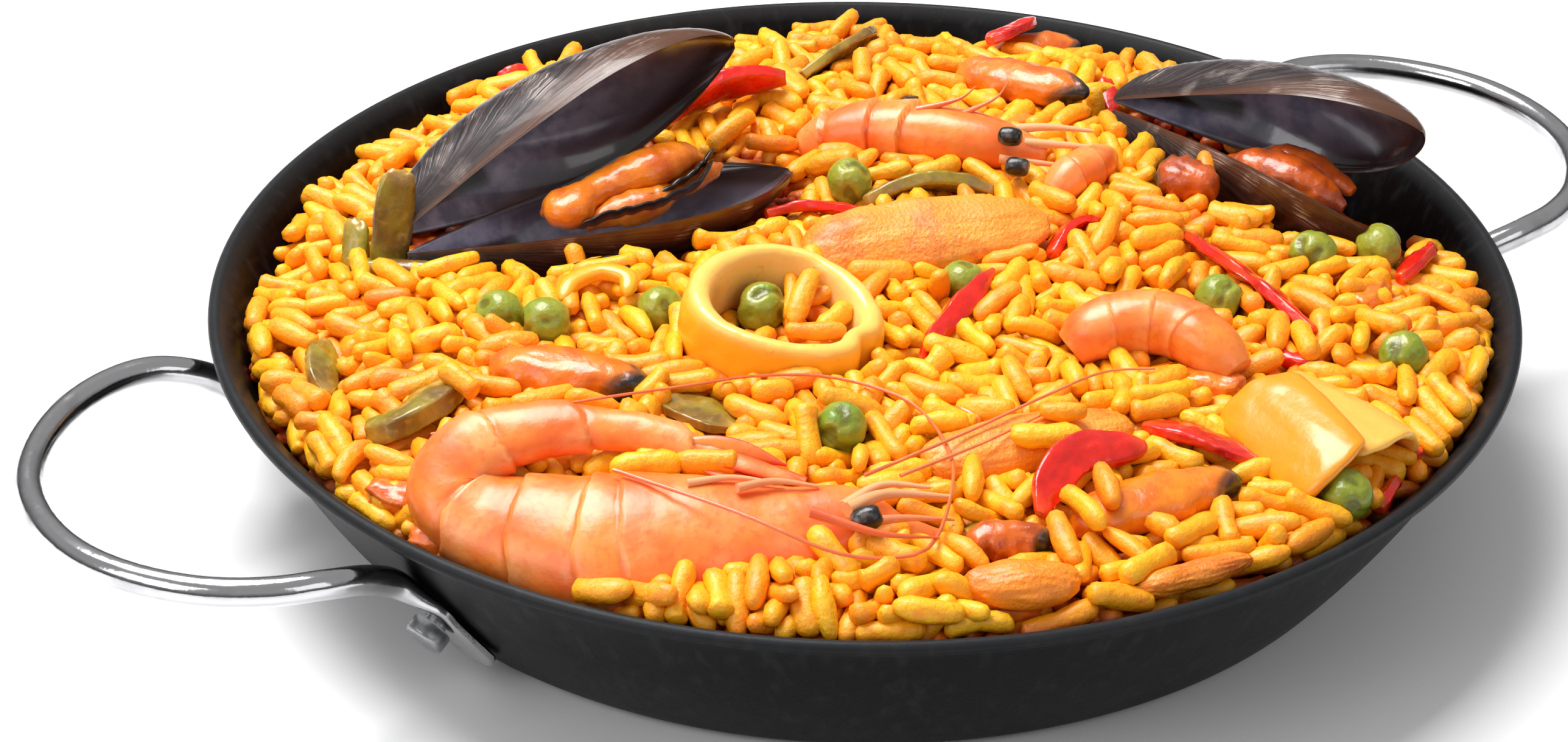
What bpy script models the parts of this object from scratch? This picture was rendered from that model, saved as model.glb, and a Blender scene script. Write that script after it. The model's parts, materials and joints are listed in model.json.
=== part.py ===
"""Paella for one, served in its two-handled steel pan.

Units are millimetres in every constant and function; new_object turns them into metres.
The origin is the middle of the pan on the surface it stands on, +X runs through one handle,
and +Z is up. The rice is one bed cut around the pieces that sit in it.
"""

import math
from functools import partial

import bmesh
import bpy
from mathutils import Euler, Matrix, Vector, noise

MM = 0.001
GAP = 0.34  # space kept between pieces that touch

# Pan: pressed steel with a rolled rim
RIM_RADIUS = 110.0
PAN_HEIGHT = 34.0
SHEET = 1.4
BEAD_RADIUS = 1.1
WALL_TOP = PAN_HEIGHT - 2 * BEAD_RADIUS
WALL_TOP_RADIUS = 107.4
WALL_SLOPE = 0.418  # of the flared wall under the rim; it leans more towards the base
WALL_BOW = 0.0055
BASE_CORNER = 6.0
WALL_HEIGHTS = (12.0, 22.0)  # where the bowed wall is divided below its top
PAN_SIDES = 48

# Handles: one bent rod each, its ends pressed flat and riveted to the wall
ROD_RADIUS = 2.35
TAB_HALF_WIDTH = 4.8
TAB_HALF_THICK = 1.0
HANDLE_OFFSET = 32.4  # of a tab from the handle's middle
HANDLE_STATIONS = 22
PRESSED_LENGTH = 15.0  # of the rod at each end
PRESS_RUN_OUT = 11.0
TIP_ROUND = 4.0
# Middle of the rod from the tab to the end of the loop: (out from the pan's axis, aside, height)
HANDLE_LOOP = (
    (101.4, 33.0, 23.0),
    (106.5, 34.6, 26.4),
    (114.0, 35.8, 28.7),
    (122.0, 34.4, 29.3),
    (130.5, 29.6, 29.4),
    (138.0, 21.6, 29.4),
    (143.2, 11.5, 29.4),
)
HANDLE_END = (144.9, 0.0, 29.4)
TAB_HEIGHTS = (4.4, 7.0, 15.0, 18.5)  # up the wall, from the tab's end to where it bends out
RIVET_HEIGHT_UP_WALL = 15.0
RIVET_HEAD_RADIUS = 3.35
RIVET_HEAD_TALL = 2.9
RIVET_SHANK_RADIUS = 1.9
HEAD_GAP = 0.65
SHANK_SHORT = 0.1  # of the wall's inside
RIVET_SIDES = 8

# Rice bed
CROWN = 36.5  # height of the middle of the heap
EDGE_HEIGHT = 30.3  # height where the heap meets the wall
EDGE_WANDER = 1.2
HEAP_WAIST = 10.0  # height at which the underside follows the wall
NEAR_SIDE = -112.0  # direction in which the heap is banked up higher against the wall
NEAR_RISE = 3.0
WALL_GAP = 0.5
SHOULDER = 5.5  # how late the heap falls away towards the wall
RICE_RINGS = (0.25, 0.47, 0.66, 0.82, 0.93, 1.0)  # each has eight points more than the last
RELIEF = 1.3
RELIEF_SCALE = 0.085
# Places where the heap stops short of the wall: (direction, drop, half-width), degrees and mm
BAYS = ((76.0, 5.0, 9.0), (50.0, 5.0, 8.0), (2.0, 6.0, 17.0), (114.0, 3.0, 7.0), (149.0, 3.0, 6.0))
# Grains banked up under a piece: (x, y, height, radius)
MOUNDS = ((-66.0, -38.0, 3.5, 13.0), (58.0, -6.0, 1.5, 12.0))

PEA_RADIUS = 4.2
LUMP_ROUGHNESS = 0.12
# How much larger the plain bodies of the hollows are than the finer pieces they hold
AROUND_BALL = 1.26
AROUND_LUMP = 1.26
AROUND_OVAL = 1.16
VALVE_ROOM = 0.25
BESIDE_STRIP = 0.35
UP = Vector((0.0, 0.0, 1.0))

COLOURS = {
    "pan": ((0.012, 0.012, 0.013), 0.38, 0.3),
    "chrome": ((0.62, 0.62, 0.63), 0.12, 1.0),
    "rivet": ((0.42, 0.43, 0.43), 0.35, 1.0),
    "rice": ((0.95, 0.45, 0.03), 0.45, 0.0),
    "pea": ((0.22, 0.33, 0.05), 0.35, 0.0),
    "red_pepper": ((0.72, 0.03, 0.02), 0.25, 0.0),
    "green_pepper": ((0.25, 0.24, 0.05), 0.3, 0.0),
    "shell": ((0.03, 0.022, 0.02), 0.25, 0.0),
    "mussel_meat": ((0.85, 0.25, 0.03), 0.35, 0.0),
    "prawn": ((0.9, 0.32, 0.15), 0.3, 0.0),
    "chicken": ((0.85, 0.48, 0.16), 0.5, 0.0),
    "squid": ((0.93, 0.72, 0.2), 0.35, 0.0),
}


# ---------------------------------------------------------------- meshes and objects


def make_material(name):
    """A Principled BSDF with the colour, roughness and metallic value of one finish."""
    colour, roughness, metallic = COLOURS[name]
    material = bpy.data.materials.new(name)
    material.use_nodes = True
    shader = material.node_tree.nodes["Principled BSDF"]
    shader.inputs["Base Color"].default_value = (*colour, 1.0)
    shader.inputs["Roughness"].default_value = roughness
    shader.inputs["Metallic"].default_value = metallic
    material.diffuse_color = (*colour, 1.0)
    return material


def face_out(bm):
    """Turns every face of a closed body outward."""
    bmesh.ops.recalc_face_normals(bm, faces=bm.faces)
    if bm.calc_volume(signed=True) < 0:
        bmesh.ops.reverse_faces(bm, faces=bm.faces)


def new_object(name, bm, finish, at=(0.0, 0.0, 0.0), rotation=None, sharp=40.0):
    """Turns a mesh in millimetres into a named, smooth-shaded object with its material."""
    face_out(bm)
    bmesh.ops.scale(bm, vec=(MM, MM, MM), verts=bm.verts)
    mesh = bpy.data.meshes.new(name)
    bm.to_mesh(mesh)
    bm.free()
    mesh.shade_smooth()
    mesh.set_sharp_from_angle(angle=math.radians(sharp))
    mesh.materials.append(bpy.data.materials.get(finish) or make_material(finish))
    obj = bpy.data.objects.new(name, mesh)
    obj.location = Vector(at) * MM
    if rotation is not None:
        obj.rotation_euler = rotation
    bpy.context.scene.collection.objects.link(obj)
    return obj


def loft(rings, closed=False):
    """A closed body through rings of equally many points; its ends are capped unless it is closed."""
    bm = bmesh.new()
    rows = [[bm.verts.new(point) for point in ring] for ring in rings]
    pairs = list(zip(rows, rows[1:]))
    if closed:
        pairs.append((rows[-1], rows[0]))
    for lower, upper in pairs:
        for i in range(len(lower)):
            j = (i + 1) % len(lower)
            bm.faces.new((lower[i], lower[j], upper[j], upper[i]))
    if not closed:
        bm.faces.new(rows[0])
        bm.faces.new(rows[-1])
    return bm


def turned(profile, sides):
    """A closed body of revolution from an outline (radius, height); points on the axis are shared."""
    bm = bmesh.new()
    rows = []
    for radius, height in profile:
        if radius < 1e-6:
            rows.append([bm.verts.new((0.0, 0.0, height))] * sides)
        else:
            rows.append([bm.verts.new(polar(radius, i / sides * 360.0, height)) for i in range(sides)])
    for lower, upper in zip(rows, rows[1:]):
        for i in range(sides):
            j = (i + 1) % sides
            corners = []
            for vert in (lower[i], lower[j], upper[j], upper[i]):
                if vert not in corners:
                    corners.append(vert)
            if len(corners) > 2:
                bm.faces.new(corners)
    return bm


def polar(radius, degrees, height=0.0):
    """The point at this radius, direction and height."""
    turn = math.radians(degrees)
    return Vector((radius * math.cos(turn), radius * math.sin(turn), height))


def mix(a, b, t):
    """The value a share t of the way from a to b."""
    return a + (b - a) * t


def smooth_step(t):
    """0 below 0, 1 above 1, and an even S between."""
    t = min(max(t, 0.0), 1.0)
    return t * t * (3.0 - 2.0 * t)


def rounded(across, up, sides, square=1.0, phase=0.0):
    """A superellipse section as (across, up) pairs; square 1 is an ellipse, lower is boxier."""
    points = []
    for i in range(sides):
        turn = math.tau * (i + phase) / sides
        c, s = math.cos(turn), math.sin(turn)
        points.append(
            (
                across * math.copysign(abs(c) ** square, c),
                up * math.copysign(abs(s) ** square, s),
            )
        )
    return points


def smooth_route(points, count):
    """Evenly spaced points along a smooth curve through the given ones."""
    points = [Vector(p) for p in points]
    ends = [points[0] * 2 - points[1], *points, points[-1] * 2 - points[-2]]
    fine = []
    for a, b, c, d in zip(ends, ends[1:], ends[2:], ends[3:]):
        for step in range(12):
            t = step / 12
            bend, twist = 2 * a - 5 * b + 4 * c - d, 3 * b - a - 3 * c + d
            fine.append(0.5 * (2 * b + (c - a) * t + bend * t**2 + twist * t**3))
    fine.append(points[-1])
    lengths = [0.0]
    for a, b in zip(fine, fine[1:]):
        lengths.append(lengths[-1] + (b - a).to_3d().length)
    even, k = [], 0
    for i in range(count):
        goal = lengths[-1] * i / (count - 1)
        while k < len(lengths) - 2 and lengths[k + 1] < goal:
            k += 1
        share = (goal - lengths[k]) / (lengths[k + 1] - lengths[k])
        even.append(fine[k].lerp(fine[k + 1], min(max(share, 0.0), 1.0)))
    return even


def swept(route, section, face=None):
    """Rings carried along a route: section(t) gives (across, over) pairs, face(t) which way over points."""
    rings = []
    last = len(route) - 1
    for i, centre in enumerate(route):
        along = (route[min(i + 1, last)] - route[max(i - 1, 0)]).normalized()
        across = along.cross(face(i / last) if face else UP).normalized()
        over = across.cross(along)
        rings.append([centre + across * a + over * b for a, b in section(i / last)])
    return rings


def uneven(point, amount, scale, seed):
    """A small wander of a surface, the same each time for one seed."""
    return amount * noise.noise(Vector(point) * scale + Vector((seed * 7.3, seed * 3.1, seed * 1.7)))


# ---------------------------------------------------------------- pan


def wall_slope(height):
    """Outward run of the wall for each millimetre of rise at a height."""
    return WALL_SLOPE + 2 * WALL_BOW * (WALL_TOP - height)


def wall_lean(height):
    """Angle of the wall from upright at a height."""
    return math.atan(wall_slope(height))


def wall_radius(height, inner=False):
    """Radius of the pan's bowed wall at a height, outside or inside."""
    below = WALL_TOP - height
    outer = WALL_TOP_RADIUS - WALL_SLOPE * below - WALL_BOW * below * below
    return outer - SHEET * math.hypot(1.0, wall_slope(height)) if inner else outer


def corner(radius, height, bend, start, end, steps):
    """Points of a round corner about a centre (radius, height), from one angle to another."""
    return [
        (
            radius + bend * math.cos(math.radians(mix(start, end, i / steps))),
            height + bend * math.sin(math.radians(mix(start, end, i / steps))),
        )
        for i in range(steps + 1)
    ]


def pan_profile():
    """Outline of the pan's sheet from the middle of its underside round the rim to its inside."""
    bead_z = PAN_HEIGHT - BEAD_RADIUS
    lean = wall_lean(BASE_CORNER / 2)
    meeting = BASE_CORNER * (1.0 - math.sin(lean))
    bend_r = wall_radius(meeting) - BASE_CORNER * math.cos(lean)
    turn = math.degrees(lean)
    points = [(0.0, 0.0)]
    points += corner(bend_r, BASE_CORNER, BASE_CORNER, -90.0, -turn, 2)
    points += [(wall_radius(height), height) for height in (*WALL_HEIGHTS, WALL_TOP)]
    points += corner(RIM_RADIUS - BEAD_RADIUS, bead_z, BEAD_RADIUS, -55.0, 165.0, 4)
    points += [(wall_radius(height, True), height) for height in (WALL_TOP, *reversed(WALL_HEIGHTS))]
    points += corner(bend_r, BASE_CORNER, BASE_CORNER - SHEET, -turn, -90.0, 1)
    points += [(0.0, SHEET)]
    return points


def on_wall(height, aside, out):
    """A point off the wall's outside by out, beside the +X handle, and the wall's outward normal there."""
    along = math.sqrt(wall_radius(height) ** 2 - aside**2)
    turn, lean = math.atan2(aside, along), wall_lean(height)
    normal = Vector((math.cos(turn) * math.cos(lean), math.sin(turn) * math.cos(lean), -math.sin(lean)))
    return Vector((along, aside, height)) + normal * out, normal


def tab_frame(side, lateral):
    """Matrix of a handle tab's rivet: origin on the wall's outside, +Z out of the wall."""
    place, normal = on_wall(RIVET_HEIGHT_UP_WALL, HANDLE_OFFSET, 0.0)
    flip = Vector((side, lateral, 1.0))
    return Matrix.Translation(place * flip) @ (normal * flip).to_track_quat("Z", "Y").to_matrix().to_4x4()


def peg(radius, low, high, sides):
    """A round peg along Z from low to high."""
    return turned([(0.0, low), (radius, low), (radius, high), (0.0, high)], sides)


def add_cutter(bm, name, matrix):
    """A hidden body that only cuts others."""
    cutter = new_object(name, bm, "chrome")
    cutter.matrix_world = Matrix.Translation(matrix.to_translation() * MM) @ matrix.to_3x3().to_4x4()
    cutter.hide_render = True
    cutter.display_type = "WIRE"
    return cutter


def cut(obj, cutter):
    """Takes one body out of another."""
    modifier = obj.modifiers.new("cut", "BOOLEAN")
    modifier.operation = "DIFFERENCE"
    modifier.solver = "EXACT"
    modifier.object = cutter


def build_pan():
    """The pan, its two handles and their four rivets."""
    pan = new_object("pan", turned(pan_profile(), PAN_SIDES), "pan", sharp=30.0)
    for side, name in ((1.0, "handle_right"), (-1.0, "handle_left")):
        handle = build_handle(name, side)
        for lateral in (1.0, -1.0):
            label = "{}_{}".format(name.split("_")[1], "back" if lateral > 0 else "front")
            frame = tab_frame(side, lateral)
            hole = peg(RIVET_SHANK_RADIUS + GAP, -4.0, 5.0, RIVET_SIDES)
            cutter = add_cutter(hole, "hole_" + label, frame)
            cut(pan, cutter)
            cut(handle, cutter)
            build_rivet("rivet_" + label, frame)
    return pan


def build_rivet(name, frame):
    """A cylindrical head outside the tab, with a shank that ends flush in the wall."""
    seat = GAP + 2 * TAB_HALF_THICK + HEAD_GAP
    inside = SHANK_SHORT - SHEET
    profile = [
        (0.0, inside),
        (RIVET_SHANK_RADIUS, inside),
        (RIVET_SHANK_RADIUS, seat),
        (RIVET_HEAD_RADIUS, seat),
        (RIVET_HEAD_RADIUS, seat + RIVET_HEAD_TALL),
        (0.0, seat + RIVET_HEAD_TALL),
    ]
    rivet = new_object(name, turned(profile, RIVET_SIDES), "rivet")
    rivet.matrix_world = Matrix.Translation(frame.to_translation() * MM) @ frame.to_3x3().to_4x4()
    return rivet


def handle_route():
    """Middle line of the +X handle: up one tab, round the loop and down the other tab."""
    half = [on_wall(height, HANDLE_OFFSET, GAP + TAB_HALF_THICK)[0] for height in TAB_HEIGHTS]
    half += [Vector(point) for point in HANDLE_LOOP]
    mirrored = [point * Vector((1.0, -1.0, 1.0)) for point in reversed(half)]
    return [*half, Vector(HANDLE_END), *mirrored]


def build_handle(name, side):
    """A round rod bent to a loop, pressed flat where it lies on the wall."""
    route = smooth_route(handle_route(), HANDLE_STATIONS)
    length = sum((b - a).length for a, b in zip(route, route[1:]))
    outward = on_wall(RIVET_HEIGHT_UP_WALL, HANDLE_OFFSET, 0.0)[1]

    def flatness(t):
        return 1.0 - smooth_step((min(t, 1.0 - t) * length - PRESSED_LENGTH) / PRESS_RUN_OUT)

    def section(t):
        flat = flatness(t)
        tip = math.sqrt(min(1.0, (min(t, 1.0 - t) * length + TIP_ROUND / 5) / TIP_ROUND))
        across = mix(ROD_RADIUS, TAB_HALF_WIDTH, flat) * tip
        return rounded(across, mix(ROD_RADIUS, TAB_HALF_THICK, flat), 8, mix(1.0, 0.55, flat), 0.5)

    def face(t):
        here = outward if t < 0.5 else outward * Vector((1.0, -1.0, 1.0))
        return (-UP).lerp(here, flatness(t))

    handle = loft(swept(route, section, face))
    if side < 0:
        half_turn = Matrix.Rotation(math.pi, 3, "Z")
        bmesh.ops.rotate(handle, cent=(0.0, 0.0, 0.0), matrix=half_turn, verts=handle.verts)
    return new_object(name, handle, "chrome")


# ---------------------------------------------------------------- rice


def angle_between(a, b):
    """Smallest angle in degrees between two directions."""
    return abs((a - b + 180.0) % 360.0 - 180.0)


def edge_height(degrees):
    """Height at which the heap meets the wall in a direction."""
    height = EDGE_HEIGHT + EDGE_WANDER * noise.noise(polar(2.3, degrees))
    height += NEAR_RISE * max(0.0, math.cos(math.radians(degrees - NEAR_SIDE)))
    for direction, drop, half_width in BAYS:
        height -= drop * math.exp(-((angle_between(degrees, direction) / half_width) ** 2))
    return height


def crown_height(x, y):
    """Height of the heap's surface, without its relief."""
    degrees = math.degrees(math.atan2(y, x))
    edge = edge_height(degrees)
    share = min(math.hypot(x, y) / wall_radius(edge, True), 1.0)
    height = mix(CROWN, edge, share**SHOULDER)
    for mound_x, mound_y, tall, radius in MOUNDS:
        height += tall * math.exp(-((x - mound_x) ** 2 + (y - mound_y) ** 2) / radius**2)
    return height


def bridge(bm, inner, outer):
    """Faces between two rings that may differ in how many points they have."""
    i = j = 0
    while i < len(inner) or j < len(outer):
        if j >= len(outer) or (i < len(inner) and (i + 1) / len(inner) <= (j + 1) / len(outer)):
            bm.faces.new((inner[i], outer[j % len(outer)], inner[(i + 1) % len(inner)]))
            i += 1
        else:
            bm.faces.new((inner[i % len(inner)], outer[j], outer[(j + 1) % len(outer)]))
            j += 1


def build_rice():
    """The heap, resting on the pan's floor and wall, with a lumpy top and an uneven outline."""
    bm = bmesh.new()
    floor = SHEET + GAP
    rings = []
    for number, share in enumerate(RICE_RINGS, 1):
        count = 8 * number
        ring = []
        for i in range(count):
            degrees = i / count * 360.0
            spot = polar(share * (wall_radius(edge_height(degrees), True) - WALL_GAP), degrees)
            fade = 1.0 - smooth_step((share - 0.9) / 0.1)
            height = crown_height(spot.x, spot.y) + fade * uneven(spot, RELIEF, RELIEF_SCALE, 1.0)
            ring.append(bm.verts.new((spot.x, spot.y, height)))
        rings.append(ring)
    sides = len(rings[-1])
    waist = (wall_radius(HEAP_WAIST, True) - WALL_GAP, HEAP_WAIST)
    foot = (wall_radius(floor, True) - BASE_CORNER, floor)
    for radius, height in (waist, foot):
        rings.append([bm.verts.new(polar(radius, i / sides * 360.0, height)) for i in range(sides)])
    middle = bm.verts.new((0.0, 0.0, CROWN))
    for i, vert in enumerate(rings[0]):
        bm.faces.new((middle, vert, rings[0][(i + 1) % len(rings[0])]))
    for inner, outer in zip(rings, rings[1:]):
        bridge(bm, inner, outer)
    bm.faces.new(list(reversed(rings[-1])))
    return new_object("rice", bm, "rice", sharp=180.0)


# ---------------------------------------------------------------- toppings


def grown(bm, amount):
    """Moves every face of a closed body outward by about this much."""
    face_out(bm)
    bm.normal_update()
    moves = [v.normal * amount * min(v.calc_shell_factor(), 1.8) for v in bm.verts]
    for vert, move in zip(bm.verts, moves):
        vert.co += move
    return bm


class Bed:
    """The rice and the pieces set in it: each piece leaves its own hollow in the heap."""

    def __init__(self, rice):
        self.rice = rice
        self.hollows = bpy.data.collections.new("hollows")
        self.hollows.hide_render = True
        bpy.context.scene.collection.children.link(self.hollows)
        modifier = rice.modifiers.new("hollows", "BOOLEAN")
        modifier.operation = "DIFFERENCE"
        modifier.solver = "EXACT"
        modifier.operand_type = "COLLECTION"
        modifier.collection = self.hollows

    def set_piece(self, name, shape, finish, at, rotation=None, sharp=40.0):
        """Adds a piece made by shape(True) and the hollow it lies in, grown from the plain shape(False)."""
        piece = new_object(name, shape(True), finish, at, rotation, sharp)
        body = grown(shape(False), GAP)
        cutter = new_object("hollow_" + name, body, finish, at, rotation)
        bpy.context.scene.collection.objects.unlink(cutter)
        self.hollows.objects.link(cutter)
        cutter.hide_render = True
        cutter.display_type = "WIRE"
        return piece


def pea(seed, fine):
    """A slightly uneven ball."""
    bm = bmesh.new()
    if fine:
        bmesh.ops.create_uvsphere(bm, u_segments=8, v_segments=5, radius=PEA_RADIUS)
    else:
        bmesh.ops.create_icosphere(bm, subdivisions=1, radius=PEA_RADIUS * AROUND_BALL)
    for vert in bm.verts:
        vert.co *= 1.0 + uneven(vert.co, 0.07, 0.25, seed)
        vert.co.z *= 0.95
    return bm


def chunk(size, seed, square, taper, fine):
    """A cut or torn lump, longest along X, narrowing towards +X by the taper's share."""
    length, width, height = size
    bm = bmesh.new()
    if fine:
        bmesh.ops.create_uvsphere(bm, u_segments=8, v_segments=5, radius=1.0)
    else:
        bmesh.ops.create_uvsphere(bm, u_segments=6, v_segments=4, radius=1.0)
    grow = 1.0 if fine else AROUND_LUMP
    for vert in bm.verts:
        x, y, z = (math.copysign(abs(c) ** square, c) for c in (vert.co.z, vert.co.y, vert.co.x))
        slim = grow * (1.0 - taper * (x + 1.0) / 2.0)
        point = Vector((x * grow * length / 2, y * slim * width / 2, z * slim * height / 2))
        vert.co = point * (1.0 + uneven(vert.co, LUMP_ROUGHNESS, 1.6, seed))
    return bm


def strip(route, width, thick, lean, fine):
    """A cut strip along a route: width across it, leaning by degrees towards its edge."""
    line = smooth_route(route, 6 if fine else 5)
    c, s = math.cos(math.radians(lean)), math.sin(math.radians(lean))

    def section(t):
        ends = mix(0.28, 1.0, math.sqrt(max(0.0, 1.0 - abs(2 * t - 1) ** 3)))
        across, up = width / 2 * ends, thick / 2 * mix(0.8, 1.0, ends)
        if fine:
            flat = rounded(across, up, 6, 0.7, 0.5)
        else:
            flat = rounded(across + BESIDE_STRIP, up + BESIDE_STRIP, 4, 0.0, 0.5)
        return [(a * c - b * s, a * s + b * c) for a, b in flat]

    return loft(swept(line, section))


# Peas: (x, y, height of the middle above the heap)
PEAS = (
    (-62.8, 10.4, 1.4),
    (-58.2, 3.0, 2.4),
    (-39.1, -0.7, 0.8),
    (-25.6, -10.6, 2.6),
    (9.8, 21.6, 2.2),
    (10.0, -15.9, -0.3),
    (43.3, -42.0, 1.2),
    (67.6, -35.7, 0.9),
    (60.0, -70.0, 2.0),
    (-32.6, -48.6, 2.2),
    (27.1, -97.7, 2.4),
    (79.4, -38.4, 1.6),
)

# Strips of pepper: (route of (x, y, height above the heap), width, thickness, lean)
RED_STRIPS = (
    (((-21.5, 99.6, 0.6), (-18.6, 99.2, 1.8), (-15.0, 99.4, 0.8)), 4.5, 2.2, 60.0),
    (((-6.0, 59.0, 3.0), (1.5, 60.5, 4.8), (9.3, 60.0, 6.0), (17.0, 57.0, 6.0)), 9.0, 3.6, 55.0),
    (((63.8, 61.1, 4.4), (70.8, 64.0, 5.4), (76.9, 65.8, 6.4)), 6.0, 2.2, 25.0),
    (((-7.5, 19.8, 1.0), (0.4, 17.6, 1.8), (8.0, 11.0, 1.0)), 6.5, 2.2, 30.0),
    (
        ((13.9, -18.8, 3.0), (7.5, -23.0, 2.4), (1.0, -26.8, 1.6), (-5.7, -31.4, 0.8), (-10.6, -35.3, 0.0)),
        4.0,
        2.0,
        40.0,
    ),
    (((28.2, -15.6, 0.6), (32.8, -11.4, 1.8), (37.0, -10.2, 1.8), (41.0, -10.9, 1.0)), 5.0, 2.2, 50.0),
    (((50.9, -22.1, 1.4), (50.8, -34.4, 2.2), (51.2, -45.9, 2.2), (50.9, -57.4, 1.2)), 6.0, 2.4, 40.0),
    (((77.0, -47.3, 0.8), (83.6, -43.6, 1.6), (90.2, -39.3, 1.8)), 5.4, 2.4, 35.0),
    (
        (
            (4.0, -77.6, 3.4),
            (-1.6, -76.2, 4.8),
            (-8.2, -76.2, 5.2),
            (-13.6, -78.8, 3.8),
            (-18.4, -83.0, 1.8),
        ),
        7.0,
        2.4,
        30.0,
    ),
    (((9.9, -68.6, 0.8), (14.0, -73.4, 1.6), (17.4, -79.4, 1.6), (20.4, -84.8, 0.8)), 7.0, 2.2, 15.0),
    (((33.2, -98.4, -1.0), (36.6, -96.4, -0.4), (39.6, -94.6, -0.8)), 4.6, 2.4, 60.0),
)
GREEN_STRIPS = (
    (((-68.7, 47.4, 1.4), (-66.8, 47.8, 8.0), (-66.2, 48.0, 15.0)), 6.4, 2.2, 0.0),
    (((-73.6, 48.5, -0.8), (-70.4, 42.5, -1.2), (-66.0, 35.5, -2.6)), 6.0, 2.4, 20.0),
    (((25.0, 65.0, 1.6), (35.0, 69.0, 2.6), (47.6, 77.0, 2.8)), 9.0, 2.6, 50.0),
    (((9.8, 15.2, 1.2), (17.4, 15.6, 2.2), (25.4, 12.8, 2.4), (31.0, 7.6, 1.4)), 7.0, 3.2, 40.0),
    (((-89.5, 20.8, 0.6), (-92.9, 13.5, 1.2), (-95.2, 6.7, 0.4)), 6.0, 2.2, 30.0),
    (((-94.6, -9.0, 1.4), (-90.6, -12.2, 3.2), (-85.2, -10.5, 3.4), (-77.4, -5.4, 1.6)), 9.0, 5.0, 20.0),
    (((-50.9, -25.6, 0.2), (-49.0, -33.0, 0.9), (-45.8, -38.4, 0.2)), 8.5, 2.6, 10.0),
)


def set_strips(bed, strips, prefix, finish):
    """Sets pepper strips in the rice, each along its route over the heap."""
    for number, (route, width, thick, lean) in enumerate(strips, 1):
        points = [Vector((x, y, crown_height(x, y) + up)) for x, y, up in route]
        middle = points[len(points) // 2]
        local = [p - middle for p in points]
        bed.set_piece(
            "{}_{}".format(prefix, number),
            partial(strip, local, width, thick, lean),
            finish,
            middle,
        )


VALVE_THICK = 1.3
VALVE_STATIONS = 9


def valve_half_width(t, width):
    """Half-width of a valve at share t from its pointed hinge end to its round end."""
    return width / 2 * math.sin(math.pi * t**1.45) ** 0.62


def valve_rings(length, width, bend, depth, side, fine):
    """Sections of one cupped valve: +X to its round end, +Y to its hinge edge, cupped along side * Z."""
    rings = []
    last = VALVE_STATIONS - 1
    room = 0.0 if fine else VALVE_ROOM
    for i in range(VALVE_STATIONS):
        t = mix(0.012, 0.988, 0.5 - 0.5 * math.cos(math.pi * i / last))
        half = valve_half_width(t, width) + room
        middle = bend * math.sin(math.pi * t)
        dome = depth * math.sin(math.pi * t**0.8) ** 0.6 + room
        thick = min(VALVE_THICK, 0.45 * half)
        ring = []
        for s in (-1.0, -0.78, -0.3, 0.3, 0.78, 1.0):
            ring.append((t * length, middle + s * half, side * dome * (1 - abs(s) ** 2.2) ** 0.7))
        if fine:
            hollow = max(dome - thick, 0.3 * dome)
            for s in (0.8, 0.25, -0.25, -0.8):
                up = hollow * (1 - s * s) ** 0.6 - 0.02
                ring.append((t * length, middle + s * (half - thick), side * up))
        rings.append([Vector(p) for p in ring])
    return rings


def valve(length, width, bend, depth, side, fine):
    """One valve as a body: a thin cup, or the space it and its cup take up."""
    return loft(valve_rings(length, width, bend, depth, side, fine))


# Mussel shells: hinge end, (heading, pitch, roll) and (length, width, bend, depth) of each valve
MUSSELS = {
    "mussel_left": {
        "upper": ((-66.2, 43.5, 37.4), (2.1, 16.4, -59.3), (69.9, 33.6, 2.8, 14.2)),
        "lower": ((-66.6, 39.8, 36.0), (-9.4, 3.1, -12.0), (69.8, 33.0, 3.0, 12.0)),
    },
    "mussel_right": {
        "upper": ((69.4, 28.0, 37.4), (-67.5, 11.6, -50.0), (64.6, 28.0, 5.0, 12.4)),
        "lower": ((69.8, 28.0, 35.6), (-76.3, -2.4, -41.7), (64.9, 31.0, 2.3, 9.0)),
    },
}


def attitude(heading, pitch, roll):
    """Rotation of a piece whose +X points along heading and rises by pitch, rolled about itself."""
    turn = Matrix.Rotation(math.radians(heading), 3, "Z")
    rise = Matrix.Rotation(math.radians(-pitch), 3, "Y")
    lean = Matrix.Rotation(math.radians(roll), 3, "X")
    return (turn @ rise @ lean).to_euler()


def set_mussels(bed):
    """The two open mussels: two valves each, with the meat in the lower one."""
    for name, valves in MUSSELS.items():
        for part, side in (("upper", 1.0), ("lower", -1.0)):
            at, angles, size = valves[part]
            bed.set_piece(
                "{}_{}".format(name, part),
                partial(valve, *size, side),
                "shell",
                at,
                attitude(*angles),
            )


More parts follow.
